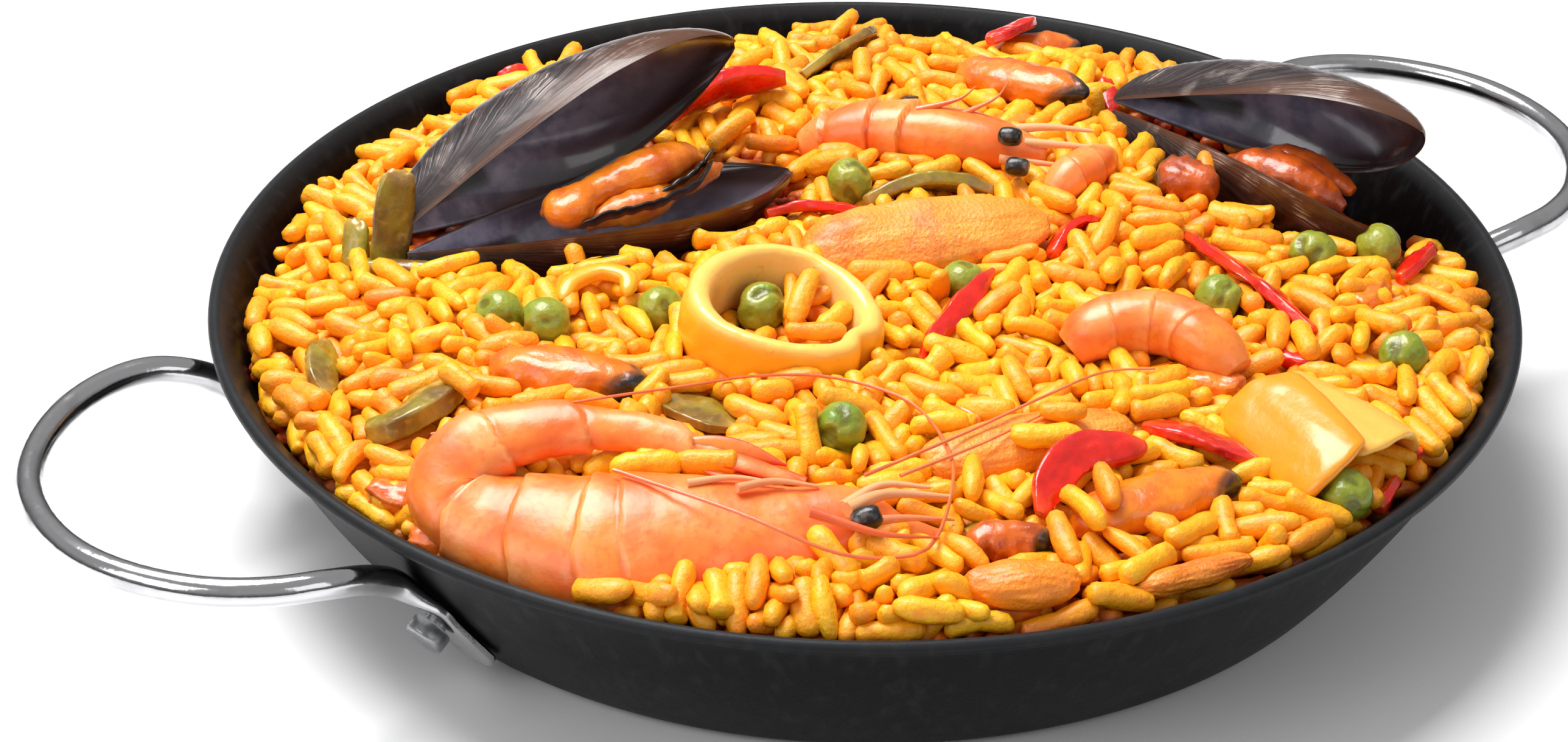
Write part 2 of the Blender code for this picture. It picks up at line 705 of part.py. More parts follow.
# Lumps: (x, y, height above the heap), heading, pitch, roll, (length, width, height), taper, boxiness
LUMPS = {
    "mussel_meat_1": ("mussel_meat", (74.8, 62.6, 0.4), (-18.0, 4.0, 15.0), (19.0, 10.0, 6.0), 0.2, 0.9),
    "mussel_meat_2": ("mussel_meat", (58.2, 41.2, 2.6), (-62.0, 6.0, 20.0), (28.0, 12.0, 9.0), 0.3, 0.9),
    "mussel_meat_3": ("mussel_meat", (-62.5, -13.5, 2.0), (-40.0, 0.0, 0.0), (26.0, 12.0, 9.0), 0.1, 0.85),
    "mussel_meat_4": ("mussel_meat", (0.4, -86.2, 0.6), (-2.0, 0.0, 0.0), (30.0, 10.5, 7.5), 0.1, 0.85),
    "mussel_meat_left": ("mussel_meat", (-30.9, 31.4, 6.1), (12.0, 8.0, 10.0), (30.0, 12.6, 7.8), 0.2, 0.9),
    "mussel_meat_right": (
        "mussel_meat",
        (81.8, -9.6, 1.6),
        (-70.0, 0.0, -40.0),
        (26.0, 11.0, 6.5),
        0.2,
        0.9,
    ),
    "chicken_1": ("chicken", (10.6, -2.8, 2.6), (-18.0, 2.0, 25.0), (43.0, 18.0, 8.0), 0.25, 0.8),
    "chicken_2": ("chicken", (-8.6, -64.2, 0.4), (-8.0, 0.0, 10.0), (36.0, 12.0, 8.0), 0.1, 0.75),
    "chicken_3": ("chicken", (-3.9, -102.6, 0.0), (-4.0, 0.0, -20.0), (20.0, 5.4, 4.4), 0.1, 0.8),
    "chicken_4": ("chicken", (-29.0, -95.0, 1.2), (-22.0, 0.0, 0.0), (17.0, 10.0, 7.0), 0.1, 0.85),
    "mussel_meat_5": ("mussel_meat", (-25.2, -84.4, 0.6), (-25.0, 0.0, 0.0), (13.0, 8.0, 7.0), 0.1, 0.9),
    "cheek_bit": ("chicken", (62.0, -7.0, 1.5), (-55.0, 0.0, 20.0), (12.0, 9.0, 9.0), 0.2, 0.75),
}


def set_lumps(bed):
    """Meat, chicken and other rounded pieces."""
    for number, (name, spec) in enumerate(LUMPS.items(), 1):
        finish, (x, y, up), angles, size, taper, square = spec
        bed.set_piece(
            name,
            partial(chunk, size, number, square, taper),
            finish,
            (x, y, crown_height(x, y) + up),
            attitude(*angles),
        )


# Prawns: rows of (x, y, height above the heap, half-width) along the body
PRAWN_AT = (-74.2, -52.1, 34.8)
PRAWN_HEADING = -30.0
PRAWN_TILT = 28.0
PRAWN_FLATNESS = 0.7
PRAWN_BELLY = 0.35
PRAWN_STATIONS = 20
SMALL_STATIONS = 9
BELLY_ROOM = 0.42
# The front prawn lies on its side: (along, aside, lift, half-depth) from the plane of its own curl
PRAWN_CURL = (
    (48.9, -0.4, 0.0, 0.8),
    (43.0, 0.6, 0.0, 2.0),
    (35.9, 1.5, 0.0, 5.9),
    (26.9, -0.3, 0.0, 7.6),
    (13.5, -2.3, -0.4, 11.2),
    (0.0, -2.6, -1.2, 12.2),
    (-10.6, 0.3, -2.8, 10.2),
    (-19.4, 3.7, -4.0, 8.1),
    (-24.2, 8.6, -3.2, 7.2),
    (-21.4, 14.0, -1.6, 6.2),
    (-13.0, 16.4, 0.0, 5.6),
    (-4.5, 17.0, 0.0, 4.8),
    (7.2, 15.8, 0.0, 4.0),
    (17.9, 11.8, 0.0, 3.2),
    (28.7, 8.7, 0.0, 1.4),
)
PRAWN_ROWS = {
    "prawn_back": (
        (11.6, 41.0, 0.0, 2.4),
        (17.6, 37.4, 2.5, 4.8),
        (25.3, 32.0, 3.6, 5.6),
        (32.3, 24.8, 3.8, 5.4),
        (38.5, 18.5, 3.6, 4.4),
        (45.0, 13.2, 3.0, 1.4),
    ),
    "prawn_arch": (
        (13.4, -43.6, 0.5, 3.4),
        (16.6, -44.4, 3.2, 4.6),
        (22.4, -46.1, 4.4, 5.2),
        (28.2, -50.6, 4.4, 5.2),
        (30.6, -57.6, 3.4, 4.6),
        (32.0, -62.5, 0.8, 3.2),
    ),
    "shrimp": (
        (39.6, 2.2, 0.8, 2.4),
        (43.6, 3.2, 2.4, 3.6),
        (49.2, 4.8, 2.6, 3.6),
        (55.4, 9.0, 1.6, 2.0),
    ),
}


def prawn(rows, stations, flatness, belly, fine):
    """A prawn's body: ovals along a smooth line, the underside flatter by the belly's share."""
    line = smooth_route(rows, stations)
    sides = 8 if fine else 6
    grow = 1.0 if fine else AROUND_OVAL
    share = belly if fine else mix(belly, 1.0, BELLY_ROOM)

    def section(t):
        half = line[round(t * (len(line) - 1))][3] * grow
        oval = rounded(half, half * flatness, sides)
        return [(across, up if up > 0 else up * share) for across, up in oval]

    return loft(swept([point.to_3d() for point in line], section))


def set_prawns(bed):
    """The whole prawn that lies on its side along the front of the pan, and the others."""
    turn = Matrix.Rotation(math.radians(PRAWN_HEADING), 3, "Z")
    turn = turn @ Matrix.Rotation(math.radians(PRAWN_TILT), 3, "X")
    shape = partial(prawn, PRAWN_CURL, PRAWN_STATIONS, PRAWN_FLATNESS, PRAWN_BELLY)
    bed.set_piece("prawn_front", shape, "prawn", PRAWN_AT, turn.to_euler())
    for name, rows in PRAWN_ROWS.items():
        points = [Vector((x, y, crown_height(x, y) + up, half)) for x, y, up, half in rows]
        middle = points[len(points) // 2].to_3d()
        local = [p - middle.to_4d() + Vector((0.0, 0.0, 0.0, 1.0)) for p in points]
        bed.set_piece(name, partial(prawn, local, SMALL_STATIONS, 0.95, 1.0), "prawn", middle)


# Squid: a cut ring that leans a little, and a folded piece
RING_RADIUS = 13.5
RING_BAND = 4.6
RING_TALL = 11.8
RING_AT = (-26.0, -17.6, 39.4)
RING_ANGLES = (-60.0, -11.0, 0.0)
RING_STEPS = 16


def squid_ring(fine):
    """A band bent into a ring that isn't quite round, with a soft kink at its front."""
    steps = RING_STEPS if fine else RING_STEPS - 4
    grow = 0.0 if fine else BESIDE_STRIP
    rings = []
    for i in range(steps):
        turn = math.tau * i / steps
        radius = RING_RADIUS * (1.0 + 0.05 * math.cos(2 * turn - 0.35) + 0.03 * math.cos(3 * turn))
        tall = RING_TALL / 2 * (1 + 0.08 * math.sin(turn)) + grow
        section = rounded(RING_BAND / 2 + grow, tall, 6 if fine else 4, 0.6 if fine else 0.0, 0.5)
        rings.append([polar(radius + a, math.degrees(turn), b) for a, b in section])
    return loft(rings, closed=True)


# Outline of the folded piece across its width, its fold at the low end
FOLD_OUTLINE = (
    (-13.0, 1.0),
    (-11.0, 4.2),
    (-4.0, 5.6),
    (5.0, 5.0),
    (13.0, 1.6),
    (6.0, -2.0),
    (-12.0, -2.6),
)
FOLD_HALF_WIDTH = 9.5
FOLD_AT = (33.9, -79.0, 2.4)  # with the height above the heap
FOLD_ANGLES = (-50.0, 4.0, 6.0)
FOLD_STEPS = 5


def squid_fold(fine):
    """A wide band of squid folded over on itself, its fold towards the wall."""
    rings = []
    grow = 0.0 if fine else BESIDE_STRIP
    for i in range(FOLD_STEPS):
        t = i / (FOLD_STEPS - 1)
        size = 1.0 - 0.25 * (2 * t - 1) ** 2
        arch = 1.5 * math.sin(math.pi * t)
        across = mix(-1.0, 1.0, t) * (FOLD_HALF_WIDTH + grow)
        rings.append([Vector((u * size, across, v * size + arch)) for u, v in FOLD_OUTLINE])
    return loft(rings)


def set_squid(bed):
    """The ring round a few grains and a pea, and the folded piece near the wall."""
    bed.set_piece("squid_ring", squid_ring, "squid", RING_AT, attitude(*RING_ANGLES), sharp=50.0)
    x, y, up = FOLD_AT
    place = (x, y, crown_height(x, y) + up)
    bed.set_piece("squid_fold", squid_fold, "squid", place, attitude(*FOLD_ANGLES), sharp=50.0)


def set_peas(bed):
    """The peas, each a little different."""
    for number, (x, y, up) in enumerate(PEAS, 1):
        bed.set_piece(
            "pea_{:02d}".format(number),
            partial(pea, number),
            "pea",
            (x, y, crown_height(x, y) + up),
            Euler((number * 0.9, number * 1.7, number * 0.4)),
        )


def build():
    """Clears the scene and makes the paella."""
    for obj in list(bpy.data.objects):
        bpy.data.objects.remove(obj)
    build_pan()
    bed = Bed(build_rice())
    set_peas(bed)
    set_strips(bed, RED_STRIPS, "red_pepper", "red_pepper")
    set_strips(bed, GREEN_STRIPS, "green_pepper", "green_pepper")
    set_mussels(bed)
    set_lumps(bed)
    set_prawns(bed)
    set_squid(bed)
    root = bpy.data.objects.new("paella", None)
    bpy.context.scene.collection.objects.link(root)
    for obj in bpy.data.objects:
        if obj.type == "MESH":
            obj.parent = root


build()
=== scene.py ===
"""Looks of a paella for one in its two-handled pan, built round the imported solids.

Places and sizes are millimetres until a mesh is made, and every piece is modelled where it lies.
"""

from __future__ import annotations

import copy
import json
import logging
import math
from collections.abc import Sequence
from dataclasses import dataclass, field
from enum import Enum
from typing import Any

import bmesh
import bpy
import numpy as np
from mathutils import Matrix, Vector, noise
from mathutils.bvhtree import BVHTree

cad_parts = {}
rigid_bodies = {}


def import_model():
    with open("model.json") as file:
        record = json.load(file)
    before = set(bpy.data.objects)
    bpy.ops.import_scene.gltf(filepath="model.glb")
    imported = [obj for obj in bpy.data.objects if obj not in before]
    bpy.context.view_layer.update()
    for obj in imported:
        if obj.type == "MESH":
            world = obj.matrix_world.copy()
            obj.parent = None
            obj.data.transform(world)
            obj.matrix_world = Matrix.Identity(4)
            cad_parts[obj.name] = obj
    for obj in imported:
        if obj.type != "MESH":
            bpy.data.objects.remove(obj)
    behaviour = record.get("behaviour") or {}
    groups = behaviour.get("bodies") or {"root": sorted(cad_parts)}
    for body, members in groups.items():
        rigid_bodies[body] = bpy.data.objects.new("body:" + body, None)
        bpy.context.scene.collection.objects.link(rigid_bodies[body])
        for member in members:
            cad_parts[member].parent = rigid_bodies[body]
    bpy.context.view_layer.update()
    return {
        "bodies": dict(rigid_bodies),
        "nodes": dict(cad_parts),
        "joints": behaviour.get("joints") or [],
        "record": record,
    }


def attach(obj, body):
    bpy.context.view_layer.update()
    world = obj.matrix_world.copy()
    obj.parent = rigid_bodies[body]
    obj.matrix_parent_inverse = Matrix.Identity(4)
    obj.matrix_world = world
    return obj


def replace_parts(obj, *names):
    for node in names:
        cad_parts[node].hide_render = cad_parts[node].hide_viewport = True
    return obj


LOG = logging.getLogger("paella")
MM = 0.001
PER_M = 1000.0
Array = np.ndarray
Spot = tuple[float, float, float]
Route = tuple[Spot, ...]
Colour = tuple[float, float, float, float]


# ---------------------------------------------------------------- numbers and curves


def tone(red: int, green: int, blue: int) -> Colour:
    """A linear colour from its three everyday 0 to 255 values."""
    linear = []
    for part in (red, green, blue):
        share = part / 255.0
        linear.append(share / 12.92 if share < 0.04045 else ((share + 0.055) / 1.055) ** 2.4)
    return (linear[0], linear[1], linear[2], 1.0)


def blend(low: Any, high: Any, share: Any) -> Any:
    """The value a share of the way from low to high."""
    return low + (high - low) * share


def soft_step(values: Any, low: float, high: float) -> Any:
    """0 below low, 1 above high and an even S between."""
    share = np.clip((values - low) / (high - low), 0.0, 1.0)
    return share * share * (3.0 - 2.0 * share)


def wander(points: Array, scale: float, seed: float) -> Array:
    """Smooth noise of about -1 to 1 at each point.

    Args:
        points: Places, one a row, in millimetres.
        scale: Bumps for each millimetre.
        seed: Any number, which picks another pattern.

    Returns:
        One value for each point.
    """
    shift = Vector((seed * 7.3, seed * 3.1, seed * 1.7))
    return np.array([noise.noise(Vector(point) * scale + shift) for point in points])


def smooth_route(points: Sequence[Sequence[float]], count: int) -> Array:
    """Evenly spaced points along a smooth curve through the given ones.

    Args:
        points: Rows of three or more values; the first three are the place.
        count: Points wanted.

    Returns:
        Rows of as many values as were given.
    """
    rows = np.asarray(points, dtype=float)
    ends = np.vstack([2 * rows[0] - rows[1], rows, 2 * rows[-1] - rows[-2]])
    fine = []
    for a, b, c, d in zip(ends, ends[1:], ends[2:], ends[3:]):
        for share in np.arange(0.0, 1.0, 0.05):
            bend, twist = 2 * a - 5 * b + 4 * c - d, 3 * b - a - 3 * c + d
            fine.append(0.5 * (2 * b + (c - a) * share + bend * share**2 + twist * share**3))
    fine.append(rows[-1])
    line = np.array(fine)
    steps = np.linalg.norm(np.diff(line[:, :3], axis=0), axis=1)
    length = np.concatenate([[0.0], np.cumsum(steps)])
    goal = np.linspace(0.0, length[-1], count)
    return np.stack([np.interp(goal, length, column) for column in line.T], axis=1)


def attitude(heading: float, pitch: float, roll: float) -> Array:
    """Rotation, from degrees: +X points along heading, rises by pitch and is rolled about itself."""
    turn = Matrix.Rotation(math.radians(heading), 3, "Z")
    rise = Matrix.Rotation(math.radians(-pitch), 3, "Y")
    lean = Matrix.Rotation(math.radians(roll), 3, "X")
    return np.array(turn @ rise @ lean)


def direction(heading: Array, pitch: Array) -> Array:
    """Unit directions, one a row, from headings and pitches in radians."""
    flat = np.cos(pitch)
    return np.stack([flat * np.cos(heading), flat * np.sin(heading), np.sin(pitch)], axis=1)


# ---------------------------------------------------------------- skins: points and faces


@dataclass
class Skin:
    """The points, faces and painted values of one piece while it is being made."""

    points: Array
    faces: list[tuple[int, ...]]
    marks: dict[str, Array] = field(default_factory=dict)

    def moved(self, at: Sequence[float], turn: Array) -> Skin:
        """The same skin turned and then moved to a place."""
        return Skin(self.points @ turn.T + np.asarray(at), self.faces, self.marks)

    def normals(self) -> Array:
        """The outward direction at each point."""
        sums = np.zeros_like(self.points)
        for size in {len(face) for face in self.faces}:
            group = np.array([face for face in self.faces if len(face) == size])
            corners = self.points[group]
            across = np.cross(corners[:, 1] - corners[:, 0], corners[:, 2] - corners[:, 0])
            if size == 4:
                across += np.cross(corners[:, 2] - corners[:, 0], corners[:, 3] - corners[:, 0])
            for corner in range(size):
                np.add.at(sums, group[:, corner], across)
        return sums / np.maximum(np.linalg.norm(sums, axis=1, keepdims=True), 1e-12)

    def push(self, amount: Array) -> None:
        """Moves each point outward by its own amount."""
        self.points = self.points + self.normals() * np.asarray(amount)[:, None]

    def fill(self, mark: str, value: float) -> None:
        """Paints one value over the whole of it."""
        self.marks[mark] = np.full(len(self.points), value)

    def join(self, other: Skin) -> None:
        """Takes another skin into this one."""
        start, count = len(self.points), len(other.points)
        self.faces = self.faces + [tuple(i + start for i in face) for face in other.faces]
        for name in {*self.marks, *other.marks}:
            mine = self.marks.get(name, np.zeros(start))
            self.marks[name] = np.concatenate([mine, other.marks.get(name, np.zeros(count))])
        self.points = np.vstack([self.points, other.points])

    def piece(self, name: str, finish: Finish, sharp: float = 60.0) -> bpy.types.Object:
        """Makes the named object, smooth shaded.

        Args:
            name: Its name.
            finish: What covers it.
            sharp: Angle in degrees from which an edge stays crisp.

        Returns:
            The new object.
        """
        mesh = bpy.data.meshes.new(name)
        mesh.from_pydata((self.points * MM).tolist(), [], self.faces)
        mesh.validate()
        for mark, values in self.marks.items():
            layer = mesh.attributes.new(mark, "FLOAT", "POINT")
            layer.data.foreach_set("value", np.asarray(values, dtype=np.float32))
        mesh.shade_smooth()
        mesh.set_sharp_from_angle(angle=math.radians(sharp))
        mesh.materials.append(finish.material())
        obj = bpy.data.objects.new(name, mesh)
        bpy.context.scene.collection.objects.link(obj)
        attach(obj, "root")
        LOG.info("%s: %d faces", name, len(self.faces))
        return obj


def loft(rings: Array, closed: bool = False, marks: dict[str, Array] | None = None) -> Skin:
    """A closed skin through rings of equally many points.

    Args:
        rings: Places as rings x points x 3.
        closed: True if the last ring joins the first; otherwise both ends are capped to a point.
        marks: Painted values as rings x points.

    Returns:
        The skin, facing out where the rings turn clockwise seen along their route.
    """
    rows, sides = rings.shape[:2]
    points = rings.reshape(-1, 3)
    faces = []
    for row in range(rows if closed else rows - 1):
        for side in range(sides):
            after = (side + 1) % sides
            here, there = row * sides, (row + 1) % rows * sides
            faces.append((here + side, here + after, there + after, there + side))
    painted = {name: values.reshape(-1) for name, values in (marks or {}).items()}
    if not closed:
        points = np.vstack([points, rings[0].mean(axis=0), rings[-1].mean(axis=0)])
        for side in range(sides):
            after = (side + 1) % sides
            faces.append((after, side, rows * sides))
            faces.append(((rows - 1) * sides + side, (rows - 1) * sides + after, rows * sides + 1))
        for name, values in (marks or {}).items():
            painted[name] = np.concatenate([painted[name], [values[0].mean(), values[-1].mean()]])
    skin = Skin(points, faces, painted)
    return outward(skin)


def outward(skin: Skin) -> Skin:
    """The skin with its faces turned outward, judged by the volume that they enclose."""
    volume = 0.0
    for face in skin.faces:
        a, b, c = skin.points[face[0]], skin.points[face[1]], skin.points[face[2]]
        volume += float(np.dot(a, np.cross(b, c)))
        if len(face) == 4:
            volume += float(np.dot(a, np.cross(c, skin.points[face[3]])))
    if volume < 0:
        skin.faces = [tuple(reversed(face)) for face in skin.faces]
    return skin


def oval(across: Array, up: Array, sides: int, square: Array | float = 1.0) -> Array:
    """Sections as stations x sides x 2 of (across, up); square 1 is an ellipse and lower is boxier."""
    turn = math.tau * (np.arange(sides) + 0.5) / sides
    cos, sin = np.cos(turn)[None, :], np.sin(turn)[None, :]
    power = np.broadcast_to(np.asarray(square, dtype=float), across.shape)[:, None]
    return np.stack(
        [
            across[:, None] * np.sign(cos) * np.abs(cos) ** power,
            up[:, None] * np.sign(sin) * np.abs(sin) ** power,
        ],
        axis=2,
    )


def lathe(outline: Sequence[tuple[float, float]], sides: int) -> Array:
    """Rings of an outline of (radius, height) turned round the upright axis."""
    turn = np.arange(sides) / sides * math.tau
    cos, sin = np.cos(turn), np.sin(turn)
    return np.array([np.stack([r * cos, r * sin, np.full(sides, z)], axis=1) for r, z in outline])


def round_ends(share: Array, power: float, least: float = 0.02) -> Array:
    """1 along a piece, rounded off at both of its ends."""
    return np.sqrt(np.clip(1.0 - np.abs(2 * share - 1) ** power, least, 1.0))


def swept(route: Array, section: Array, over: Array | Sequence[float] = (0.0, 0.0, 1.0)) -> Array:
    """Rings of a section carried along a route.

    Args:
        route: Middle line, one place a row.
        section: Stations x sides x 2 of (across, over).
        over: The direction over the route, one for all or one for each station.

    Returns:
        Rings as stations x sides x 3.
    """
    along = np.gradient(route[:, :3], axis=0)
    along /= np.linalg.norm(along, axis=1, keepdims=True)
    across = np.cross(along, np.broadcast_to(np.asarray(over, dtype=float), along.shape))
    across /= np.linalg.norm(across, axis=1, keepdims=True)
    above = np.cross(across, along)
    sideways = section[:, :, :1] * across[:, None, :]
    return route[:, None, :3] + sideways + section[:, :, 1:] * above[:, None, :]


# ---------------------------------------------------------------- finishes


class Value:
    """One output in the nodes of a finish, used as a number in expressions."""

    def __init__(self, net: Net, socket: bpy.types.NodeSocket) -> None:
        """Wraps a socket of a net."""
        self.net = net
        self.socket = socket

    def __add__(self, other: Value | float) -> Value:
        """Sum."""
        return self.net.math("ADD", self, other)

    __radd__ = __add__

    def __sub__(self, other: Value | float) -> Value:
        """Difference."""
        return self.net.math("SUBTRACT", self, other)

    def __rsub__(self, other: float) -> Value:
        """Difference from a number."""
        return self.net.math("SUBTRACT", other, self)

    def __mul__(self, other: Value | float) -> Value:
        """Product."""
        return self.net.math("MULTIPLY", self, other)

    __rmul__ = __mul__

    def step(self, low: float, high: float) -> Value:
        """0 at low, 1 at high and an even S between, also where high is the lower of the two."""
        settings = {"interpolation_type": "SMOOTHSTEP"}
        inputs = {"Value": self, "From Min": min(low, high), "From Max": max(low, high)}
        rise = self.net.add("ShaderNodeMapRange", settings, inputs)
        return rise if low < high else 1.0 - rise


class Net:
    """The nodes of one finish, around its Principled BSDF."""

    def __init__(self, name: str) -> None:
        """Starts a material of this name."""
        self.material = bpy.data.materials.new(name)
        self.material.use_nodes = True
        self.tree = self.material.node_tree
        self.shader = self.tree.nodes["Principled BSDF"]

    def link(self, socket: bpy.types.NodeSocket, value: Any) -> None:
        """Feeds a socket from a value, or sets it to a number or colour."""
        if isinstance(value, Value):
            self.tree.links.new(value.socket, socket)
        else:
            socket.default_value = value

    def add(
        self, kind: str, settings: dict[str, Any], inputs: dict[Any, Any], output: int | str = 0
    ) -> Value:
        """Adds a node.

        Args:
            kind: The node's type.
            settings: Its settings by name; stops are a ramp's (position, colour) pairs.
            inputs: What feeds its sockets, by name or number.
            output: The output wanted.

        Returns:
            That output.
        """
        node = self.tree.nodes.new(kind)
        for name, setting in settings.items():
            if name == "stops":
                ramp = node.color_ramp.elements
                while len(ramp) < len(setting):
                    ramp.new(0.5)
                for element, (position, colour) in zip(ramp, setting):
                    element.position, element.color = position, colour
            else:
                setattr(node, name, setting)
        for name, value in inputs.items():
            self.link(node.inputs[name], value)
        return Value(self, node.outputs[output])

    def math(self, operation: str, *terms: Value | float) -> Value:
        """A Math node on one or more terms."""
        return self.add("ShaderNodeMath", {"operation": operation}, dict(enumerate(terms)))

    def mark(self, name: str) -> Value:
        """The value painted on the piece under this name."""
        return self.add("ShaderNodeAttribute", {"attribute_name": name}, {}, "Fac")

    def place(self, stretch: Sequence[float] = (1.0, 1.0, 1.0)) -> Value:
        """The place on the piece in millimetres, stretched along each axis."""
        where = self.add("ShaderNodeTexCoord", {}, {}, "Object")
        scale = tuple(PER_M * part for part in stretch)
        return self.add("ShaderNodeVectorMath", {"operation": "MULTIPLY"}, {0: where, 1: scale})

    def cloud(
        self,
        scale: float,
        detail: float = 2.0,
        where: Value | None = None,
        rough: float = 0.5,
        seed: float = 0.0,
    ) -> Value:
        """Noise of 0 to 1.

        Args:
            scale: Blotches for each millimetre.
            detail: Octaves of finer detail.
            where: The place read, or None for the place on the piece.
            rough: Strength of the finer detail.
            seed: Any number, which picks another pattern.

        Returns:
            The noise.
        """
        inputs = {
            "Vector": where or self.place(),
            "W": seed,
            "Scale": scale,
            "Detail": detail,
            "Roughness": rough,
        }
        return self.add("ShaderNodeTexNoise", {"noise_dimensions": "4D"}, inputs)

    def mix(self, share: Value | float, low: Value | Colour, high: Value | Colour) -> Value:
        """A colour a share of the way from low to high."""
        inputs = {"Factor": share, 6: low, 7: high}
        return self.add("ShaderNodeMix", {"data_type": "RGBA"}, inputs, 2)

    def ramp(self, share: Value, *stops: tuple[float, Colour]) -> Value:
        """A colour along stops of (position, colour)."""
        return self.add("ShaderNodeValToRGB", {"stops": stops}, {"Fac": share})

    def rough(self, value: Value) -> None:
        """Sets how dull the surface is."""
        self.link(self.shader.inputs["Roughness"], value)

    def bump(self, height: Value, depth: float) -> None:
        """Raises the surface by height times depth in millimetres."""
        inputs = {"Height": height, "Distance": depth * MM, "Strength": 1.0}
        self.link(self.shader.inputs["Normal"], self.add("ShaderNodeBump", {}, inputs))


@dataclass(frozen=True)
class Finish:
    """A covering: the numbers of its shader here, and what changes over it in paint.

    Attributes:
        slot: The record's material slot; not used.
        roughness: Dullness where paint doesn't vary it.
        metallic: 1 for bare metal.
        coat: Strength of the wet film over it.
        coat_roughness: Dullness of that film.
        scatter: Share of light that soaks in.
        depth: How far red, green and blue light soaks in, in millimetres.
        shine: Strength of the reflection.
    """

    slot: str
    roughness: float = 0.4
    metallic: float = 0.0
    coat: float = 0.0
    coat_roughness: float = 0.12
    scatter: float = 0.0
    depth: Spot = (1.2, 0.7, 0.2)
    shine: float = 0.5

    def material(self) -> bpy.types.Material:
        """The material, made at its first use."""
        name = type(self).__name__
        return bpy.data.materials.get(name) or self.make(name)

    def make(self, name: str) -> bpy.types.Material:
        """Sets the shader's constants and paints the rest."""
        net = Net(name)
        constants = {
            "Roughness": self.roughness,
            "Metallic": self.metallic,
            "Coat Weight": self.coat,
            "Coat Roughness": self.coat_roughness,
            "Subsurface Weight": self.scatter,
            "Subsurface Radius": self.depth,
            "Subsurface Scale": MM,
            "Specular IOR Level": self.shine,
        }
        for socket, value in constants.items():
            net.shader.inputs[socket].default_value = value
        net.link(net.shader.inputs["Base Color"], self.paint(net))
        return net.material

    def paint(self, net: Net) -> Value:
        """Sets what varies over the surface and returns its colour."""
        raise NotImplementedError


@dataclass(frozen=True)
class BlackSteel(Finish):
    """Satin black of the pan, faintly mottled, with upright draw marks on its wall."""

    slot: str = "pan"
    roughness: float = 0.36
    shine: float = 0.12

    def paint(self, net: Net) -> Value:
        """Mottled black, rougher in patches, with a painted highlight in pale grey along the top of the rim.
        """
        mottle = net.cloud(0.08, 4.0)
        marks = net.cloud(0.45, 2.0, net.place((1.0, 1.0, 0.06)))
        net.rough(0.3 + 0.16 * mottle + 0.1 * net.cloud(1.6, 2.0))
        net.bump(marks * 0.6 + net.cloud(3.0, 2.0) * 0.25, 0.1)
        black = net.mix(mottle.step(0.3, 0.75), tone(3, 3, 4), tone(8, 8, 9))
        drawn = net.mix(marks.step(0.5, 0.72) * mottle * 0.8, black, tone(38, 38, 40))
        # Painted highlight: the top of the rim's bead is lightened to pale grey.
        return net.mix(net.mark("rim") * 0.4, drawn, tone(60, 61, 63))


@dataclass(frozen=True)
class BrightRod(Finish):
    """Chrome of the handles, a little rubbed."""

    slot: str = "chrome"
    roughness: float = 0.1
    metallic: float = 1.0

    def paint(self, net: Net) -> Value:
        """Near white metal with duller rubbed patches."""
        rubbed = net.cloud(0.12, 4.0).step(0.45, 0.75)
        net.rough(0.09 + 0.16 * rubbed + 0.05 * net.cloud(1.2, 3.0))
        net.bump(net.cloud(0.5, 3.0), 0.05)
        return net.mix(rubbed, tone(206, 206, 208), tone(168, 168, 170))


@dataclass(frozen=True)
class DullRivet(Finish):
    """Satin steel of the rivet heads, with file marks."""

    slot: str = "rivet"
    roughness: float = 0.34
    metallic: float = 1.0

    def paint(self, net: Net) -> Value:
        """Grey steel streaked one way."""
        streak = net.cloud(1.4, 3.0, net.place((0.15, 1.0, 1.0)))
        net.rough(0.26 + 0.2 * streak)
        net.bump(streak, 0.05)
        return net.mix(streak, tone(128, 128, 131), tone(176, 177, 179))


@dataclass(frozen=True)
class SaffronGrain(Finish):
    """Cooked rice: plump, wet, yellow to orange, stained in places."""

    slot: str = "rice"
    roughness: float = 0.32
    coat: float = 0.15
    coat_roughness: float = 0.2
    scatter: float = 0.22
    depth: Spot = (1.6, 0.9, 0.15)

    def paint(self, net: Net) -> Value:
        """Each grain has its own yellow and is orange in stains; deeper down between the grains it is
        darkened to red-orange as painted shade.
        """
        tint, deep = net.mark("tint"), net.mark("deep")
        blotch = net.cloud(0.35, 3.0)
        speck = net.cloud(2.2, 2.0, seed=3.0).step(0.64, 0.74)
        grain = net.ramp(
            tint,
            (0.0, tone(255, 196, 20)),
            (0.45, tone(254, 174, 12)),
            (0.8, tone(250, 154, 12)),
            (1.0, tone(240, 118, 14)),
        )
        stained = net.mix(blotch.step(0.5, 0.72) * 0.5, grain, tone(240, 112, 16))
        # Painted shade: points that lie deeper below the heap's surface are darkened to red-orange.
        sunk = net.mix(deep.step(0.2, 3.2) * 0.92, stained, tone(184, 50, 8))
        net.bump(net.cloud(0.9, 4.0) + net.cloud(5.0, 2.0) * 0.15, 0.34)
        net.rough(0.34 + 0.24 * net.cloud(1.1, 2.0))
        return net.mix(speck * 0.45, sunk, tone(200, 66, 16))


@dataclass(frozen=True)
class RiceBed(Finish):
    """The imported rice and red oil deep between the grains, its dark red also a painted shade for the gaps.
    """

    slot: str = "rice"
    roughness: float = 0.3
    coat: float = 0.3
    scatter: float = 0.2

    def paint(self, net: Net) -> Value:
        """Orange rice going to dark red in the hollows, the red standing for both the oil and the shade
        there, a painted shade.
        """
        fine, wide = net.cloud(0.5, 4.0), net.cloud(0.06, 3.0)
        net.bump(fine, 0.5)
        # Red oil and painted shade: the core shows only in the gaps between the grains, so it is mostly dark
        # red.
        low = net.mix(wide.step(0.35, 0.65), tone(158, 56, 12), tone(122, 30, 10))
        return net.mix(fine.step(0.4, 0.7) * 0.7, low, tone(206, 104, 18))


